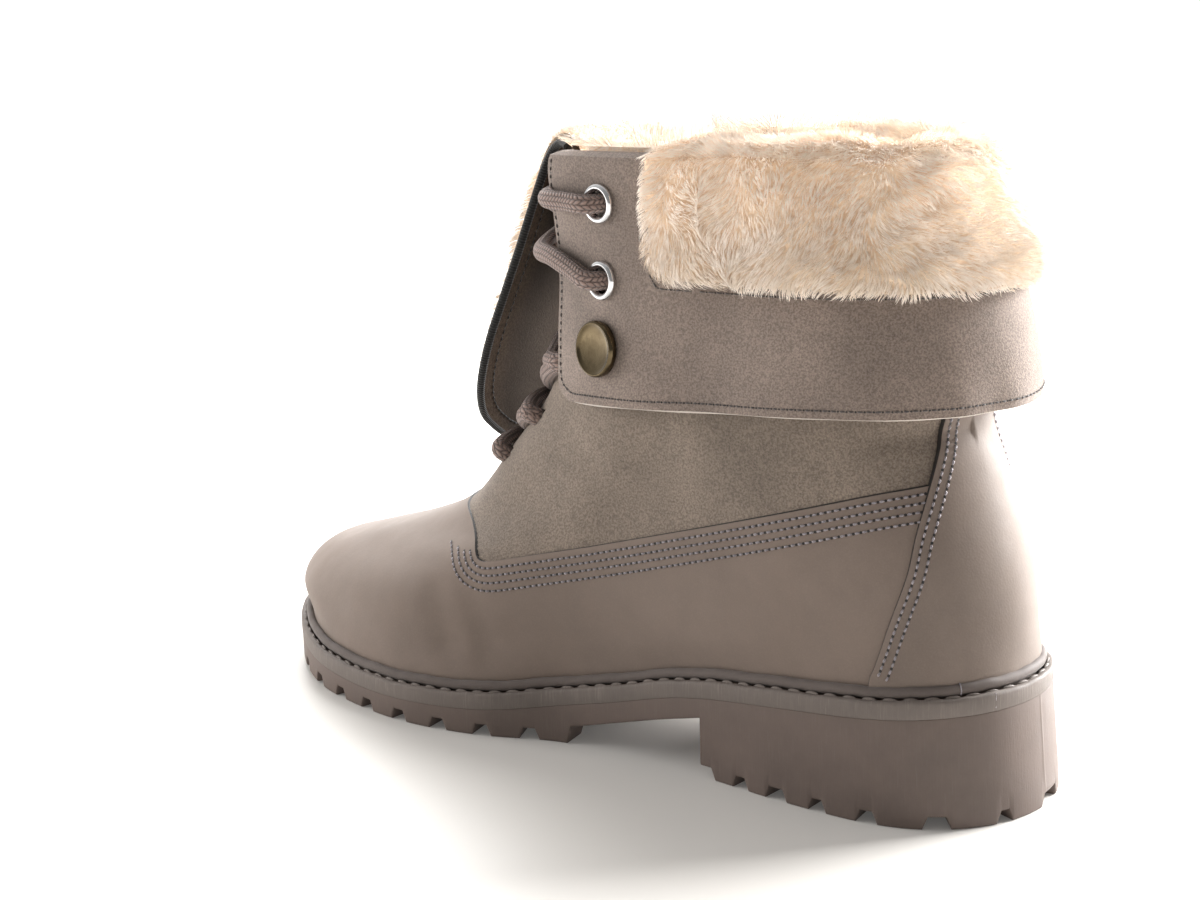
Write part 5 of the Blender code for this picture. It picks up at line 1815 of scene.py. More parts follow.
@dataclass
class Cuff(Assembly):
    """Fold-down suede cuff with a raw pale edge, stitched hems and four eyelet holes."""

    form: CuffForm
    columns: int = 200
    hole: float = 3.9
    hem: float = 2.7
    lip: float = 1.9
    skin: float = 0.85
    wavy_rows: int = 22
    fold_width: float = 5.0

    def build(self) -> None:
        """Make the cuff and its stitching."""
        rows = []
        for r, row in enumerate(self.form.table):
            rows.append(self._open_row([self.form.tracks[side][r] for side in (0, 1)], row[5]))
        for z, off in CUFF_HOOK:
            rim = [self.form.rim(side, z, off) for side in (0, 1)]
            rows.append(self._open_row(rim, CUFF_ROWS[-1][5] + 1.0))
        grid = np.stack(rows)
        run = np.cumsum(np.linalg.norm(np.diff(grid[0], axis=0, prepend=grid[0][:1]), axis=1))
        fade = smooth_step(1 - np.arange(len(grid)) / self.wavy_rows)[:, None]
        wave = 0.45 * np.sin(run / 13.0) + 0.3 * np.sin(run / 5.3 + 1.0)
        for place, height in CUFF_FOLDS:
            wave += height * np.exp(-((run - place) / self.fold_width) ** 2)
        normals = grid_normals(grid)
        grid = grid + normals * (fade * wave[None, :])[..., None]
        normals = grid_normals(grid)
        outer, inner = grid + normals * self.skin, grid - normals * self.skin
        keep = np.ones((grid.shape[0] - 1, grid.shape[1] - 1), bool)
        centres = 0.25 * (grid[:-1, :-1] + grid[1:, :-1] + grid[:-1, 1:] + grid[1:, 1:])
        for _, side, x, z in EYELET_SITES:
            place, normal = self.form.site(side, x, z)
            away = centres - (place - normal)
            flat = away - normal * (away @ normal)[..., None]
            keep &= ~((np.linalg.norm(flat, axis=-1) < self.hole) & (np.abs(away @ normal) < 5.0))
        patch = Patchwork()
        patch.add_sheet(self._ragged(outer), inner, keep)
        self.shop.make("cuff_flap", patch, [Finish.CUFF], "cuff_suede", ["cuff"])
        self._hems(outer)
        self._fur_seam(outer)

    def _ragged(self, outer: Array) -> Array:
        """Outer face drawn in at its raw edges by a slightly uneven amount.

        Args:
            outer: The cuff's outer face.

        Returns:
            The new face.
        """
        rng = np.random.default_rng(5)
        across = self.lip + 0.16 * rng.normal(0, 1, outer.shape[1])[:, None]
        out = outer.copy()
        out[0] += across * unit(outer[1] - outer[0])
        upright = 0.8 * self.lip + 0.08 * rng.normal(0, 1, (2, len(outer) - 2, 1))
        out[:-2, 0] += upright[0] * unit(outer[:-2, 1] - outer[:-2, 0])
        out[:-2, -1] += upright[1] * unit(outer[:-2, -2] - outer[:-2, -1])
        return out

    def _fur_seam(self, outer: Array) -> None:
        """Dark seam that holds the fur panel, with a narrow ledge of suede round the fur.

        Args:
            outer: The cuff's outer face.
        """
        seam = Seam(skin_of(outer), radius=0.20, hole=0.26, pitch=2.6, share=0.72)
        stitches = Patchwork()
        for side in (0, 1):
            line = [at_distances(self.form.loop(side, z), np.array([run]))[0] for run, z in FUR_SEAM]
            path, _ = seam.onto(even(curve_through(np.array(line), 6), seam.step))
            seam.sew(stitches, path)
        back = []
        for side in (0, 1):
            half = self.form.loop(side, FUR_SEAM[-1][1])
            back.append(at_distances(half, np.linspace(FUR_SEAM[-1][0], runs_of(half)[-1], 60)))
        path, _ = seam.onto(even(both_sides(*back), seam.step))
        seam.sew(stitches, path)
        self.stitched("fur_seam", stitches, Finish.DARK, "cuff_suede")

    def _open_row(self, halves: Sequence[Array], first: float) -> Array:
        """Row from the outer front edge round the back to the inner front edge."""
        return both_sides(*(from_run(half, first, self.columns) for half in halves))

    def _hems(self, outer: Array) -> None:
        """Stitched hem along the bottom and up both front edges.

        Args:
            outer: The cuff's outer face.
        """
        border = np.concatenate([outer[-3:0:-1, 0], outer[0], outer[1:-2, -1]])
        border[2:-2] = (border[:-4] + border[1:-3] + border[2:-2] + border[3:-1] + border[4:]) / 5
        seam = Seam(skin_of(outer), radius=0.24, hole=0.30, pitch=2.3)
        stitches = Patchwork()
        seam.sew(stitches, seam.moved(border, self.hem))
        self.stitched("cuff_stitches", stitches, Finish.DARK, "cuff_suede")


# ---------- fur
@dataclass
class Coat:
    """Long pile on a grid: fine strands gathered into tufts that lean and curl together."""

    seed: int
    strands: int
    length: float
    width: float = 0.18
    lean: float = 0.85
    sink: float = 0.6
    stand: float = 0.72
    tuft: int = 22

    def grow(self, patch: Patchwork, grid: Array, normals: Array, comb: Array) -> None:
        """Add the strands.

        Args:
            patch: Patchwork that takes them.
            grid: Grid of points that the strands grow from.
            normals: Directions in which they stand.
            comb: Directions towards which they lean, one for each point of the grid.
        """
        rng = np.random.default_rng(self.seed)
        a, b, c, d = grid[:-1, :-1], grid[:-1, 1:], grid[1:, 1:], grid[1:, :-1]
        area = np.linalg.norm(np.cross(c - a, d - b), axis=-1) * 0.5
        share = np.cumsum(area.ravel())
        quad = np.searchsorted(share, rng.random(self.strands) * share[-1])
        rows, columns = np.unravel_index(quad, area.shape)
        u, v = rng.random((2, self.strands, 1))

        def spread(field_of: Array) -> Array:
            """Values of a grid at the roots.

            Args:
                field_of: Values at the grid's points.

            Returns:
                Values at the roots.
            """
            low = field_of[rows, columns] * (1 - u) + field_of[rows, columns + 1] * u
            high = field_of[rows + 1, columns] * (1 - u) + field_of[rows + 1, columns + 1] * u
            return low * (1 - v) + high * v

        root, normal, lead = spread(grid), unit(spread(normals)), unit(spread(comb))
        lead = unit(lead - normal * np.sum(lead * normal, axis=1, keepdims=True))
        side = np.cross(normal, lead)
        swirl = self.field_of(rng, root, 0.075, 3) + 0.55 * self.field_of(rng, root, 0.22, 3)
        lay = unit(lead * (0.75 + 0.5 * swirl[:, 1:2]) + side * swirl[:, :1] * 1.1)
        near, spots = self._tufts(rng, root)
        reach = self.length * (0.75 + 0.45 * rng.random((self.strands, 1))) * (1 + 0.16 * swirl[:, 2:3])
        tip = root + unit(normal * self.stand + lay * self.lean) * reach
        sums = np.zeros((spots, 3))
        np.add.at(sums, near, tip)
        knot = sums / np.maximum(np.bincount(near, minlength=spots)[:, None], 1)
        pull = 0.10 + 0.25 * rng.random((self.strands, 1))
        tip = tip * (1 - pull) + knot[near] * pull
        curl = self.field_of(rng, root, 0.5, 3) * 0.7 + rng.normal(0, 0.28, (self.strands, 3))
        base = root - normal * self.sink
        middle = root + (normal * 0.56 + lay * 0.24) * reach * 0.5 + curl * 0.15
        upper = root * 0.32 + tip * 0.68 + normal * reach * 0.12 + curl * 0.22
        roll = rng.uniform(-0.35, 0.35, (self.strands, 1))
        face = np.cross(lay, normal) * np.cos(roll) + normal * np.sin(roll)
        wide = self.width * (0.7 + 0.6 * rng.random((self.strands, 1)))
        tone = 0.16 * rng.random(self.strands) + 0.10 * np.clip(swirl[:, 0], -1, 1)
        points = np.stack([base - face * wide * 0.5, base + face * wide * 0.5,
                           middle - face * wide * 0.5, middle + face * wide * 0.5,
                           upper - face * wide * 0.36, upper + face * wide * 0.36, tip], axis=1)
        # Shades rise from the roots to the tips; the finish turns the low ones into painted shade at the
        # roots.
        shades = np.clip(tone[:, None] + np.array([0.0, 0.0, 0.40, 0.40, 0.78, 0.78, 0.9]), 0, 1)
        start = np.arange(self.strands)[:, None] * 7
        first = np.stack([start + k for k in (0, 1, 3, 2)], axis=-1).reshape(-1, 4)
        second = np.stack([start + k for k in (2, 3, 5, 4)], axis=-1).reshape(-1, 4)
        third = np.stack([start + k for k in (4, 5, 6)], axis=-1).reshape(-1, 3)
        patch.add(points, np.concatenate([first, second]), shades.ravel())
        patch.faces.append((third + patch.count - self.strands * 7, 0))

    def _tufts(self, rng: np.random.Generator, root: Array) -> tuple[Array, int]:
        """Nearest of a few scattered spots for each strand, and their number.

        Args:
            rng: Source of the random draws.
            root: The strands' roots.

        Returns:
            Number of the nearest spot, and how many spots there are.
        """
        spots = root[rng.choice(self.strands, max(self.strands // self.tuft, 1), replace=False)]
        tree = KDTree(len(spots))
        for index, point in enumerate(spots):
            tree.insert(Vector(point), index)
        tree.balance()
        return np.array([tree.find(Vector(point))[1] for point in root]), len(spots)

    @staticmethod
    def field_of(rng: np.random.Generator, points: Array, pace: float, parts: int) -> Array:
        """Smooth random values, a few for each point, that change over a distance of 1 / pace.

        Args:
            rng: Source of the random draws.
            points: Where the values are wanted.
            pace: How fast they change.
            parts: How many for each point.

        Returns:
            The values.
        """
        out = np.zeros((len(points), parts))
        for k in range(parts):
            for _ in range(5):
                wave = rng.normal(0, pace, 3)
                out[:, k] += np.sin(points @ wave + rng.random() * 6.28)
        return out / 2.2


@dataclass
class FurCollar(Assembly):
    """Fur panel on the cuff, rolled over the rim and down the inside of the collar."""

    form: CuffForm
    columns: int = 60
    depth: float = 1.7
    border: float = 6.0
    border_drop: float = 4.4
    lump: float = 0.8
    slant: float = 0.13
    front_shift: float = 1.6
    rim_z: float = 176.0
    top_z: float = 170.0
    top_shift: float = 3.0
    over_shift: float = 6.0
    steps: int = 6

    def build(self) -> None:
        """Make the fur's body and its strands."""
        rows = []
        for row in FUR_OUTER:
            first = FUR_START - self.front_shift + self.slant * (self.rim_z - row[0])
            first -= self.top_shift if row[0] > self.top_z else 0.0
            rows.append(self._ring([self.form.loop(side, row[0]) for side in (0, 1)], row, first))
        rim = [self.form.last.row(side, TOP_LEVEL) for side in (0, 1)]
        rows += [self._ring(rim, row, FUR_START - self.over_shift) for row in FUR_OVER]
        top = self.steps * len(FUR_OUTER)
        grid = curve_through(np.stack(rows), self.steps)
        grid = curve_through(grid.transpose(1, 0, 2), 3).transpose(1, 0, 2)
        normals = grid_normals(grid)
        runs = np.cumsum(np.linalg.norm(np.diff(grid, axis=1, prepend=grid[:, :1]), axis=2), axis=1)
        border = np.minimum(runs, runs[:, -1:] - runs)
        drop = 1 - np.sqrt(1 - (1 - np.clip(border / self.border, 0.0, 1.0)) ** 2)
        drop = drop * smooth_step((top - 4 - np.arange(len(grid))) / 10.0)[:, None]
        lump = self._lumps(grid)
        core = grid - normals * (self.depth + self.border_drop * drop - self.lump * lump)[..., None]
        patch = Patchwork()
        # Painted shade: the body is darker in the hollows between its lumps and lighter on their tops.
        patch.add_grid(core, 0.35 + 0.3 * lump)
        self.shop.make("fur_body", patch, [Finish.FLEECE], "fur_pile", ["fur_collar"], 180.0)
        normals = grid_normals(core)
        comb = -np.gradient(core, axis=0)
        for name, part, coat in (("fur_outer", slice(0, top + 1), Coat(11, 38000, 3.4)),
                                 ("fur_over", slice(top - 6, None), Coat(23, 25000, 4.0))):
            tufts = Patchwork()
            coat.grow(tufts, core[part], normals[part], comb[part])
            self.shop.make(name, tufts, [Finish.PILE], "fur_pile", [], 180.0)
        self._inside()

    @staticmethod
    def _lumps(grid: Array) -> Array:
        """Height of the body's soft tufts, one value for each point, mostly from -1 to 1.

        Args:
            grid: Grid of points.

        Returns:
            The heights.
        """
        rng = np.random.default_rng(7)
        flat = grid.reshape(-1, 3)
        broad = Coat.field_of(rng, flat, 0.28, 2)
        fine = Coat.field_of(rng, flat, 0.75, 2)
        return (0.6 * broad[:, 0] * (1 + 0.4 * broad[:, 1]) + 0.4 * fine[:, 0]).reshape(grid.shape[:2])

    def _ring(self, halves: Sequence[Array], row: Sequence[float], first: float) -> Array:
        """Open row at the fur's heights and stand-offs.

        Args:
            halves: Outer and inner halves.
            row: Row of the fur's table.
            first: Distance from the front of its first point.

        Returns:
            The row of points.
        """
        z_side, z_back, off_side, off_back = row
        ends = []
        for side, half in enumerate(halves):
            moved = stood_off(half, side, off_side, off_side, off_back)
            moved[:, 2] = z_side + (z_back - z_side) * backness(half)
            ends.append(from_run(moved, first, self.columns))
        return both_sides(*ends)

    def _inside(self) -> None:
        """Pile lining of the collar's front quarters, up to the throat's edges."""
        patch = Patchwork()
        for side in (0, 1):
            rows = []
            for z, off in FUR_INSIDE:
                half = self.form.rim(side, z, off)
                if z < 165.0:
                    half = stood_off(self.form.shaft_loop(side, z, z), side, off, off, off)
                    half[:, 2] = z
                rows.append(at_distances(half, np.linspace(40.0, FUR_START + 8.0, 34)))
            grid = curve_through(np.stack(rows), 4)
            normals = grid_normals(grid) * (1 if side else -1)
            comb = np.broadcast_to([0.4, 0.0, 0.5], grid.shape)
            patch.add_grid(grid, 0.8, turned=not side)
            Coat(41 + side, 5500, 5.0).grow(patch, grid, normals, comb)
        self.shop.make("fur_lining_front", patch, [Finish.PILE], "fur_pile", [], 180.0)


# ---------- tongue
TONGUE_SINK = 4.3
TONGUE_OVERLAP = 5.0
# level of the boot, further sink of the tongue's middle
TONGUE_ROWS = ((5.5, 0), (6, 0.2), (6.5, 0.5), (7, 1), (7.5, 1.6), (8, 2.6), (8.5, 4.6), (9, 6),
               (9.5, 7))
# x, z, half width, backward bow of the edges
FLAP = (
    (137.2, 162.5, 27.5, 6), (137.6, 168.5, 25, 5), (139.6, 172.2, 23, 3.5),
    (143.2, 173.2, 19.5, 2), (146.2, 171.2, 18.8, 1.4), (148.2, 167, 19.6, 1.2),
    (151, 157.5, 21.6, 1), (156.2, 142, 23.8, 1), (161.8, 127.5, 25.4, 1),
    (167.4, 114, 26.2, 1), (173, 100, 24.4, 1), (176.8, 91, 19, 0.8),
    (179.4, 84.2, 9.6, 0.4), (180.6, 81, 3.5, 0.1),
)


@dataclass
class Tongue(Assembly):
    """Tongue that stands in the throat, folds forward and hangs as a bound, fur-faced leaf."""

    last: Last
    half_columns: int = 14
    binding: float = 1.25
    skin: float = 1.1
    hem: float = 4.2
    fur_lift: float = 1.0
    fur_depth: float = 1.5

    def build(self) -> None:
        """Make the tongue, its binding and its fur."""
        share = np.linspace(-1.0, 1.0, 2 * self.half_columns + 1)
        rows = []
        for level, extra in TONGUE_ROWS:
            half = float(THROAT_AT(level)) + TONGUE_OVERLAP
            line = []
            for s in share:
                place, normal = self.last.spot(level, half * s if abs(s) > 1e-6 else 0.001)
                line.append(place - normal * (TONGUE_SINK + extra * (1 - s * s)))
            rows.append(np.array(line))
        for x, z, half, bow in FLAP:
            rows.append(np.column_stack([x - bow * share ** 2, half * share, np.full(len(share), z)]))
        steps = 5
        grid = curve_through(np.stack(rows), steps)
        normals = grid_normals(grid)
        fold = steps * (len(TONGUE_ROWS) + 2)
        # Painted shade: the flap is darkened towards its middle, where it lies in shade behind the cuff.
        shade = self._painted_middle_shade(grid, fold)
        patch = Patchwork()
        face = grid + normals * self.skin
        patch.add_sheet(face, grid - normals * self.skin, shade=shade)
        self.shop.make("tongue_sheet", patch, [Finish.TONGUE], "tongue_suede", ["tongue"])
        border = np.concatenate([grid[fold:, 0], grid[-1, 1:-1], grid[:fold - 1:-1, -1]])
        tape = Patchwork()
        tape.add_tube(even(softened(even(border, 1.0)), 0.6), self.binding, 10)
        self.shop.make("tongue_binding", tape, [Finish.RIBBON], "tongue_suede", [], 60.0)
        self._hem(face[fold + 6:])
        self._fur(grid[fold - 12:], normals[fold - 12:])

    @staticmethod
    def _painted_middle_shade(grid: Array, fold: int) -> Array:
        """Painted shade on the flap's middle, one value for each point.

        Args:
            grid: Grid of points.
            fold: First row of the flap.

        Returns:
            The shades.
        """
        share = np.abs(np.linspace(-1.0, 1.0, grid.shape[1]))
        shade = np.zeros(grid.shape[:2])
        shade[fold:] = 0.75 * smooth_step((0.95 - share) / 0.55)
        return shade

    def _hem(self, face: Array) -> None:
        """Row of dark stitches inside the binding, on the suede face of the flap.

        Args:
            face: Suede face of the flap.
        """
        border = softened(np.concatenate([face[:, 0], face[-1, 1:-1], face[::-1, -1]]))
        seam = Seam(skin_of(face), radius=0.22, hole=0.28, pitch=2.4)
        stitches = Patchwork()
        seam.sew(stitches, seam.moved(border, self.hem, -1.0))
        # Thread and holes both take the near-black finish that paints the holes' shade.
        self.stitched("tongue_stitches", stitches, Finish.HOLE_SHADE_AND_BLACK_THREAD, "tongue_suede")

    def _fur(self, grid: Array, normals: Array) -> None:
        """Fur on the leg side of the tongue, over its fold and down the front of the flap.

        Args:
            grid: Grid of points.
            normals: The grid's normals.
        """
        front = grid[:, 1:-1] - normals[:, 1:-1] * self.fur_lift
        comb = np.gradient(front, axis=0)
        tufts = Patchwork()
        body = front - normals[:, 1:-1] * self.fur_depth
        tufts.add_grid(body, 0.4, turned=True)
        Coat(57, 18000, 3.0, width=0.27, sink=0.2).grow(tufts, body, -normals[:, 1:-1], comb)
        self.shop.make("tongue_fur_strands", tufts, [Finish.PILE], "fur_pile", ["tongue_fur"], 180.0)


# ---------- hardware
@dataclass
class Fitting:
    """Turned metal fitting set on the cuff."""

    profile: Sequence[tuple[float, float]]
    sides: int = 48

    def add(self, patch: Patchwork, place: Array, normal: Array) -> None:
        """Add the turned shape.

        Args:
            patch: Patchwork that takes it.
            place: Its seat.
            normal: Its axis.
        """
        across = unit(np.cross(np.array([0.0, 0.0, 1.0]), normal))
        ring = circle(across, np.cross(normal, across), self.sides)
        rings = [place + ring * radius + normal * height for radius, height in self.profile]
        patch.add_grid(np.stack(rings), wrap=True)


@dataclass
class Hardware(Assembly):
    """Four silver eyelets and two antique brass snaps."""

    form: CuffForm

    def build(self) -> None:
        """Make every fitting."""
        angle = np.linspace(1.0, 0.0, 12) * np.pi
        roll = [(4.45 - 1.0 * math.cos(a), 0.5 + 1.0 * math.sin(a)) for a in angle[::-1]]
        barrel = [(3.85, -2.2), (3.5, -2.3), (3.42, -1.8), (3.42, 0.1)]
        ring = (barrel + roll + [(5.45, 0.1), (5.1, -0.25)])[::-1]
        for name, side, x, z in EYELET_SITES:
            patch = Patchwork()
            Fitting(ring).add(patch, *self.form.site(side, x, z))
            self.shop.make(f"eyelet_ring_{name}", patch, [Finish.SILVER], "eyelet_silver",
                           [f"eyelet_{name}"], 60.0)
        cap = [(7.0, -0.1), (7.7, 0.35), (7.85, 1.2), (7.75, 2.0), (7.45, 2.5), (7.1, 2.62), (6.8, 2.5),
               (6.5, 2.25), (5.6, 2.12), (4.0, 2.0), (2.0, 1.92), (0.02, 1.9)]
        for name, side, x, z in SNAP_SITES:
            patch = Patchwork()
            Fitting(cap).add(patch, *self.form.site(side, x, z))
            self.shop.make(f"snap_cap_{name}", patch, [Finish.BRASS], "snap_brass", [f"snap_{name}"], 50.0)


# ---------- lace
@dataclass
class LaceRun(Assembly):
    """Round braided lace, crossed in front of the tongue and run out through the eyelets."""

    last: Last
    form: CuffForm
    radius: float = 2.7
    gap: float = 0.3
    sink: float = 3.0
    # level of the boot, distance of the hole from the throat's edge
    holes: Rows = ((6.95, 6.0), (7.6, 6.0), (8.3, 4.2))
    # share of the way across, lift, of a crossing; lifts in the middle of each pair
    sag: tuple[tuple[float, float], ...] = ((0.0, 2.5), (0.15, 2.4), (0.30, 1.1))
    middles: tuple[float, float] = (-1.4, 0.9)
    rise: float = -1.4
    # x, z of the stretch of a lace that lies on the cuff
    upper_on_cuff: Rows = ((120.0, 159.2), (129.0, 159.6))
    lower_on_cuff: Rows = ((120.0, 140.2), (129.4, 143.2))
    # distance across from the middle, x, z of the same laces past the cuff's edge
    top_bar: Rows = ((28.6, 135.6, 159.8), (15.0, 140.6, 160.2), (0.0, 142.6, 160.4))
    low_bar: Rows = ((31.6, 139.2, 143.8), (15.0, 143.6, 148.2), (0.0, 145.0, 150.6),
                     (-15.0, 143.0, 153.6), (-27.6, 139.6, 158.0))
    inner: Rows = ((23.0, 136.4, 138.0), (28.2, 138.4, 146.0))
    # height over an eyelet's seat, distance forward, on the way through it
    through: Rows = ((-5.0, -2.0), (-1.2, 0.0), (2.2, 3.0))
    # share of the way to the last hole, lift, where the highest laces leave it
    leave: Rows = ((1.0, 2.9), (0.8, 2.8), (0.6, 1.2))

    def build(self) -> None:
        """Make the lace."""
        patch = Patchwork()
        for line in self.lines():
            patch.add_tube(even(line, 0.7), self.radius, 20)
        self.shop.make("lace_braid", patch, [Finish.BRAID], "lace_cord", ["lace"], 60.0)

    def length(self) -> float:
        """Length of lace that shows, in millimetres."""
        return sum(float(runs_of(line)[-1]) for line in self.lines())

    def lines(self) -> list[Array]:
        """Smooth middle lines of all the strands."""
        return [curve_through(np.array(path), 8) for path in self.paths()]

    def paths(self) -> list[list[Array]]:
        """Points that the strands' middle lines pass through.

        Returns:
            One list of points for each strand.
        """
        places = [(level, float(THROAT_AT(level)) + beside) for level, beside in self.holes]
        out = []
        for (low, low_run), (high, high_run) in zip(places, places[1:]):
            for side, middle in zip((1, -1), self.middles):
                out.append(self._crossing((low, low_run * side), (high, -high_run * side), middle))
        upper = {side: self._from_eyelet(side, EYELET_SITES[0][2:], self.upper_on_cuff) for side in (1, -1)}
        bar = [self._across(row, 1) for row in self.top_bar]
        bar += [self._across(row, -1) for row in self.top_bar[-2::-1]]
        out.append(upper[1] + bar + upper[-1][::-1])
        for side in (1, -1):
            start = self._from_eyelet(side, EYELET_SITES[1][2:], self.lower_on_cuff)
            out.append(start + [self._across(row, side) for row in self.low_bar])
            level, run = places[-1]
            start = [self._over(level, run * side * share, lift) for share, lift in self.leave]
            out.append([self._inside(level, run * side)] + start + [self._over(level + 0.45, 0.01, self.rise)]
                       + [self._across(row, -side) for row in self.inner])
        return out

    def _over(self, level: float, along: float, lift: float) -> Array:
        """Lace point lifted off the boot's closed form."""
        place, normal = self.last.spot(level, along if abs(along) > 0.01 else 0.01)
        return place + normal * lift

    def _inside(self, level: float, along: float) -> Array:
        """Lace point just inside the boot's wall."""
        place, normal = self.last.spot(level, along)
        return place - normal * self.sink

    @staticmethod
    def _across(row: Sequence[float], side: int) -> Array:
        """Point from its distance across, x and z, on one side of the boot."""
        across, x, z = row
        return np.array([x, across * side, z])

    def _crossing(self, start: tuple[float, float], end: tuple[float, float], middle: float) -> list[Array]:
        """Strand over the front from one hole to another, lifted by its own amount in the middle.

        Args:
            start: Level and distance of its first hole.
            end: Level and distance of its second hole.
            middle: Lift in the middle.

        Returns:
            Its points, from inside the first hole to inside the second.
        """
        points = [self._inside(*start)]
        back = tuple((1.0 - share, lift) for share, lift in reversed(self.sag))
        for share, lift in self.sag + ((0.5, middle),) + back:
            points.append(self._over(start[0] + (end[0] - start[0]) * share,
                                     start[1] + (end[1] - start[1]) * share, lift))
        return points + [self._inside(*end)]

    def _from_eyelet(self, side: int, site: Sequence[float], rows: Rows) -> list[Array]:
        """Strand out of an eyelet and forward over the cuff.

        Args:
            side: 1 for the outer side, -1 for the inner.
            site: The eyelet's x and z.
            rows: x and z of points on the cuff.

        Returns:
            Its points.
        """
        place, normal = self.form.site(side, *site)
        points = [place + normal * lift + np.array([ahead, 0.0, 0.0]) for lift, ahead in self.through]
        for x, z in rows:
            spot, out = self.form.site(side, x, z)
            points.append(spot + out * (self.radius + self.gap))
        return points


# ---------- stage
@dataclass(frozen=True)
class Lamp:
    """Square light, placed in metres to the camera's right, away from the camera and up."""

    name: str
    side: float
    ahead: float
    height: float
    size: float
    power: float
    glossy: bool = True


LAMPS = (
    Lamp("rim_light", 0.98, 0.34, 0.50, 0.45, 46.0),
    Lamp("back_light", -0.05, 0.75, 0.85, 0.6, 15.0),
    Lamp("left_fill", -0.95, 0.25, 0.34, 0.6, 8.0, False),
)


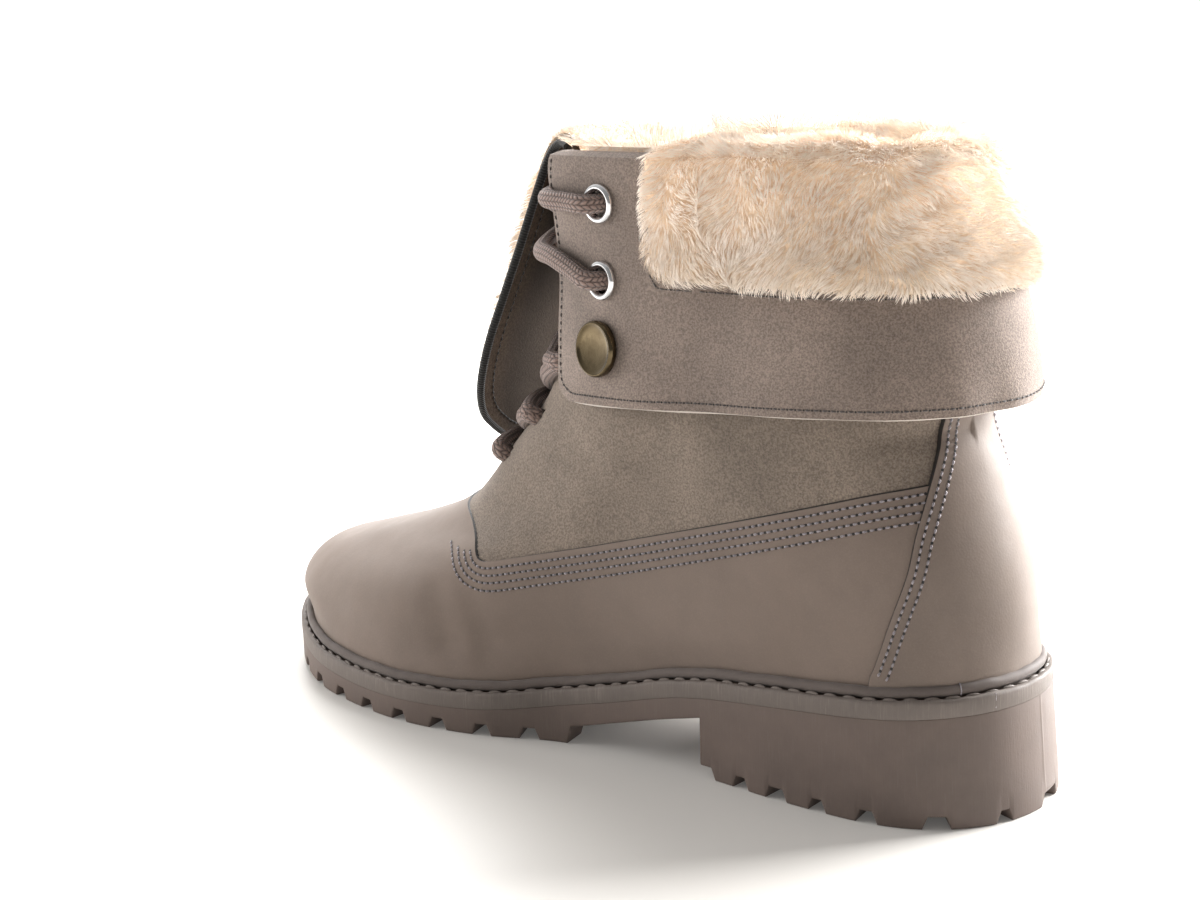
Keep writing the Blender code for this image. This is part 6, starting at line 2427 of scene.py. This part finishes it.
@dataclass
class Studio:
    """Pale floor, bright surroundings, soft lights and the camera."""

    azimuth: float = 39.5
    elevation: float = 12.4
    distance: float = 575.0
    lens: float = 56.7
    roll: float = -1.6
    target: tuple[float, float, float] = (146.3, 0.0, 79.3)
    near_glow: float = 0.295
    far_glow: float = 1.12

    def build(self, shop: Workshop) -> None:
        """Set the camera, the floor and the lights.

        Args:
            shop: Workshop that gives the boot's place.
        """
        self._camera(shop)
        self._floor()
        self._lights()

    def _axes(self) -> tuple[Array, Array, Array]:
        """Directions to the camera, to its right and up, without roll.

        Returns:
            The three directions.
        """
        az, el = math.radians(self.azimuth), math.radians(self.elevation)
        back = np.array([-math.sin(az) * math.cos(el), math.cos(az) * math.cos(el), math.sin(el)])
        right = unit(np.cross(-back, np.array([0.0, 0.0, 1.0])))
        return back, right, np.cross(right, -back)

    def _camera(self, shop: Workshop) -> None:
        """Camera at the boot's outer side and behind it.

        Args:
            shop: Workshop that gives the boot's place.
        """
        back, right, up = self._axes()
        turn = math.radians(self.roll)
        rolled = math.cos(turn) * right + math.sin(turn) * up
        raised = -math.sin(turn) * right + math.cos(turn) * up
        place = shop.place(np.array(self.target) + back * self.distance)
        data = bpy.data.cameras.new("camera")
        data.lens = self.lens
        data.sensor_width = 36.0
        data.clip_start = 0.01
        data.dof.use_dof = False
        camera = shown("camera", data)
        turned = np.column_stack([rolled, raised, back, place]).tolist()
        camera.matrix_world = Matrix(turned + [[0.0, 0.0, 0.0, 1.0]])
        bpy.context.scene.camera = camera

    def _floor(self) -> None:
        """Wide pale floor, darker near the boot as painted shade and with a painted glow that grows with the
        distance from it.
        """
        half = 3.0
        mesh = bpy.data.meshes.new("studio_floor")
        mesh.from_pydata([(-half, -half, 0.0), (half, -half, 0.0), (half, half, 0.0), (-half, half, 0.0)], [],
                         [(0, 1, 2, 3)])
        floor = shown("studio_floor", mesh)
        tree = Tree("floor_finish", roughness=0.4, specular=0.25)
        away = tree.node("VectorMath", {0: tree.place()}, operation="LENGTH").outputs["Value"]
        # Painted shade: the floor's colour is darker within about 0.12 to 0.36 m of its middle, under and
        # round the boot.
        mottle_and_floor_shade = tree.levels(away, 0.12, 0.36)
        # Painted glow: the floor emits light, from 0.07 near the boot up to 0.50 far from it.
        tree.put(tree.shader.inputs["Emission Color"], (1.0, 0.985, 0.965))
        tree.put(tree.shader.inputs["Emission Strength"], tree.levels(away, 0.30, 0.85, 0.07, 0.50))
        mesh.materials.append(tree.finish(tree.blend(mottle_and_floor_shade, (0.68, 0.655, 0.62), (0.84, 0.815, 0.78))))

    def _surroundings(self, tree: bpy.types.NodeTree) -> None:
        """White surroundings, bright behind the boot and dimmer on its near side.

        Args:
            tree: The world's node tree.
        """
        background = tree.nodes["Background"]
        background.inputs["Color"].default_value = (1.0, 0.99, 0.975, 1.0)
        coordinate = tree.nodes.new("ShaderNodeTexCoord")
        toward = tree.nodes.new("ShaderNodeVectorMath")
        toward.operation = "DOT_PRODUCT"
        back, _, _ = self._axes()
        toward.inputs[1].default_value = tuple(float(v) for v in unit(-back * np.array([1.0, 1.0, 0.0])))
        strength = tree.nodes.new("ShaderNodeMapRange")
        for name, value in (("From Min", -0.5), ("From Max", 0.75), ("To Min", self.near_glow),
                            ("To Max", self.far_glow)):
            strength.inputs[name].default_value = value
        tree.links.new(coordinate.outputs["Generated"], toward.inputs[0])
        tree.links.new(toward.outputs["Value"], strength.inputs["Value"])
        tree.links.new(strength.outputs[0], background.inputs["Strength"])

    def _lights(self) -> None:
        """Bright surroundings, a strong light behind the heel and soft fills."""
        scene = bpy.context.scene
        scene.view_settings.view_transform = "Standard"
        world = bpy.data.worlds.new("studio")
        world.use_nodes = True
        self._surroundings(world.node_tree)
        scene.world = world
        back, right, _ = self._axes()
        for lamp in LAMPS:
            place = right * lamp.side - back * lamp.ahead + np.array([0.0, 0.0, lamp.height])
            data = bpy.data.lights.new(lamp.name, "AREA")
            data.size = lamp.size
            data.energy = lamp.power
            light = shown(lamp.name, data)
            light.location = place
            light.visible_glossy = lamp.glossy
            aim = Vector((0.0, 0.0, 0.07)) - Vector(place)
            light.rotation_euler = aim.to_track_quat("-Z", "Y").to_euler()


def main() -> None:
    """Build the boot's looks, class by class."""
    logging.basicConfig(level=logging.INFO, format="%(message)s")
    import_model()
    shop = Workshop.from_frame()
    Studio().build(shop)
    last = Last()
    form = CuffForm(last)
    lace = LaceRun(shop, last, form)
    LOG.info("lace shown: %.0f mm", lace.length())
    for part in (lace, Outsole(shop), Welt(shop), Insole(shop, last), Upper(shop, last), Cuff(shop, form),
                 Hardware(shop, form), Tongue(shop, last), FurCollar(shop, form)):
        LOG.info("making the %s", type(part).__name__)
        part.build()


if __name__ == "__main__":
    main()
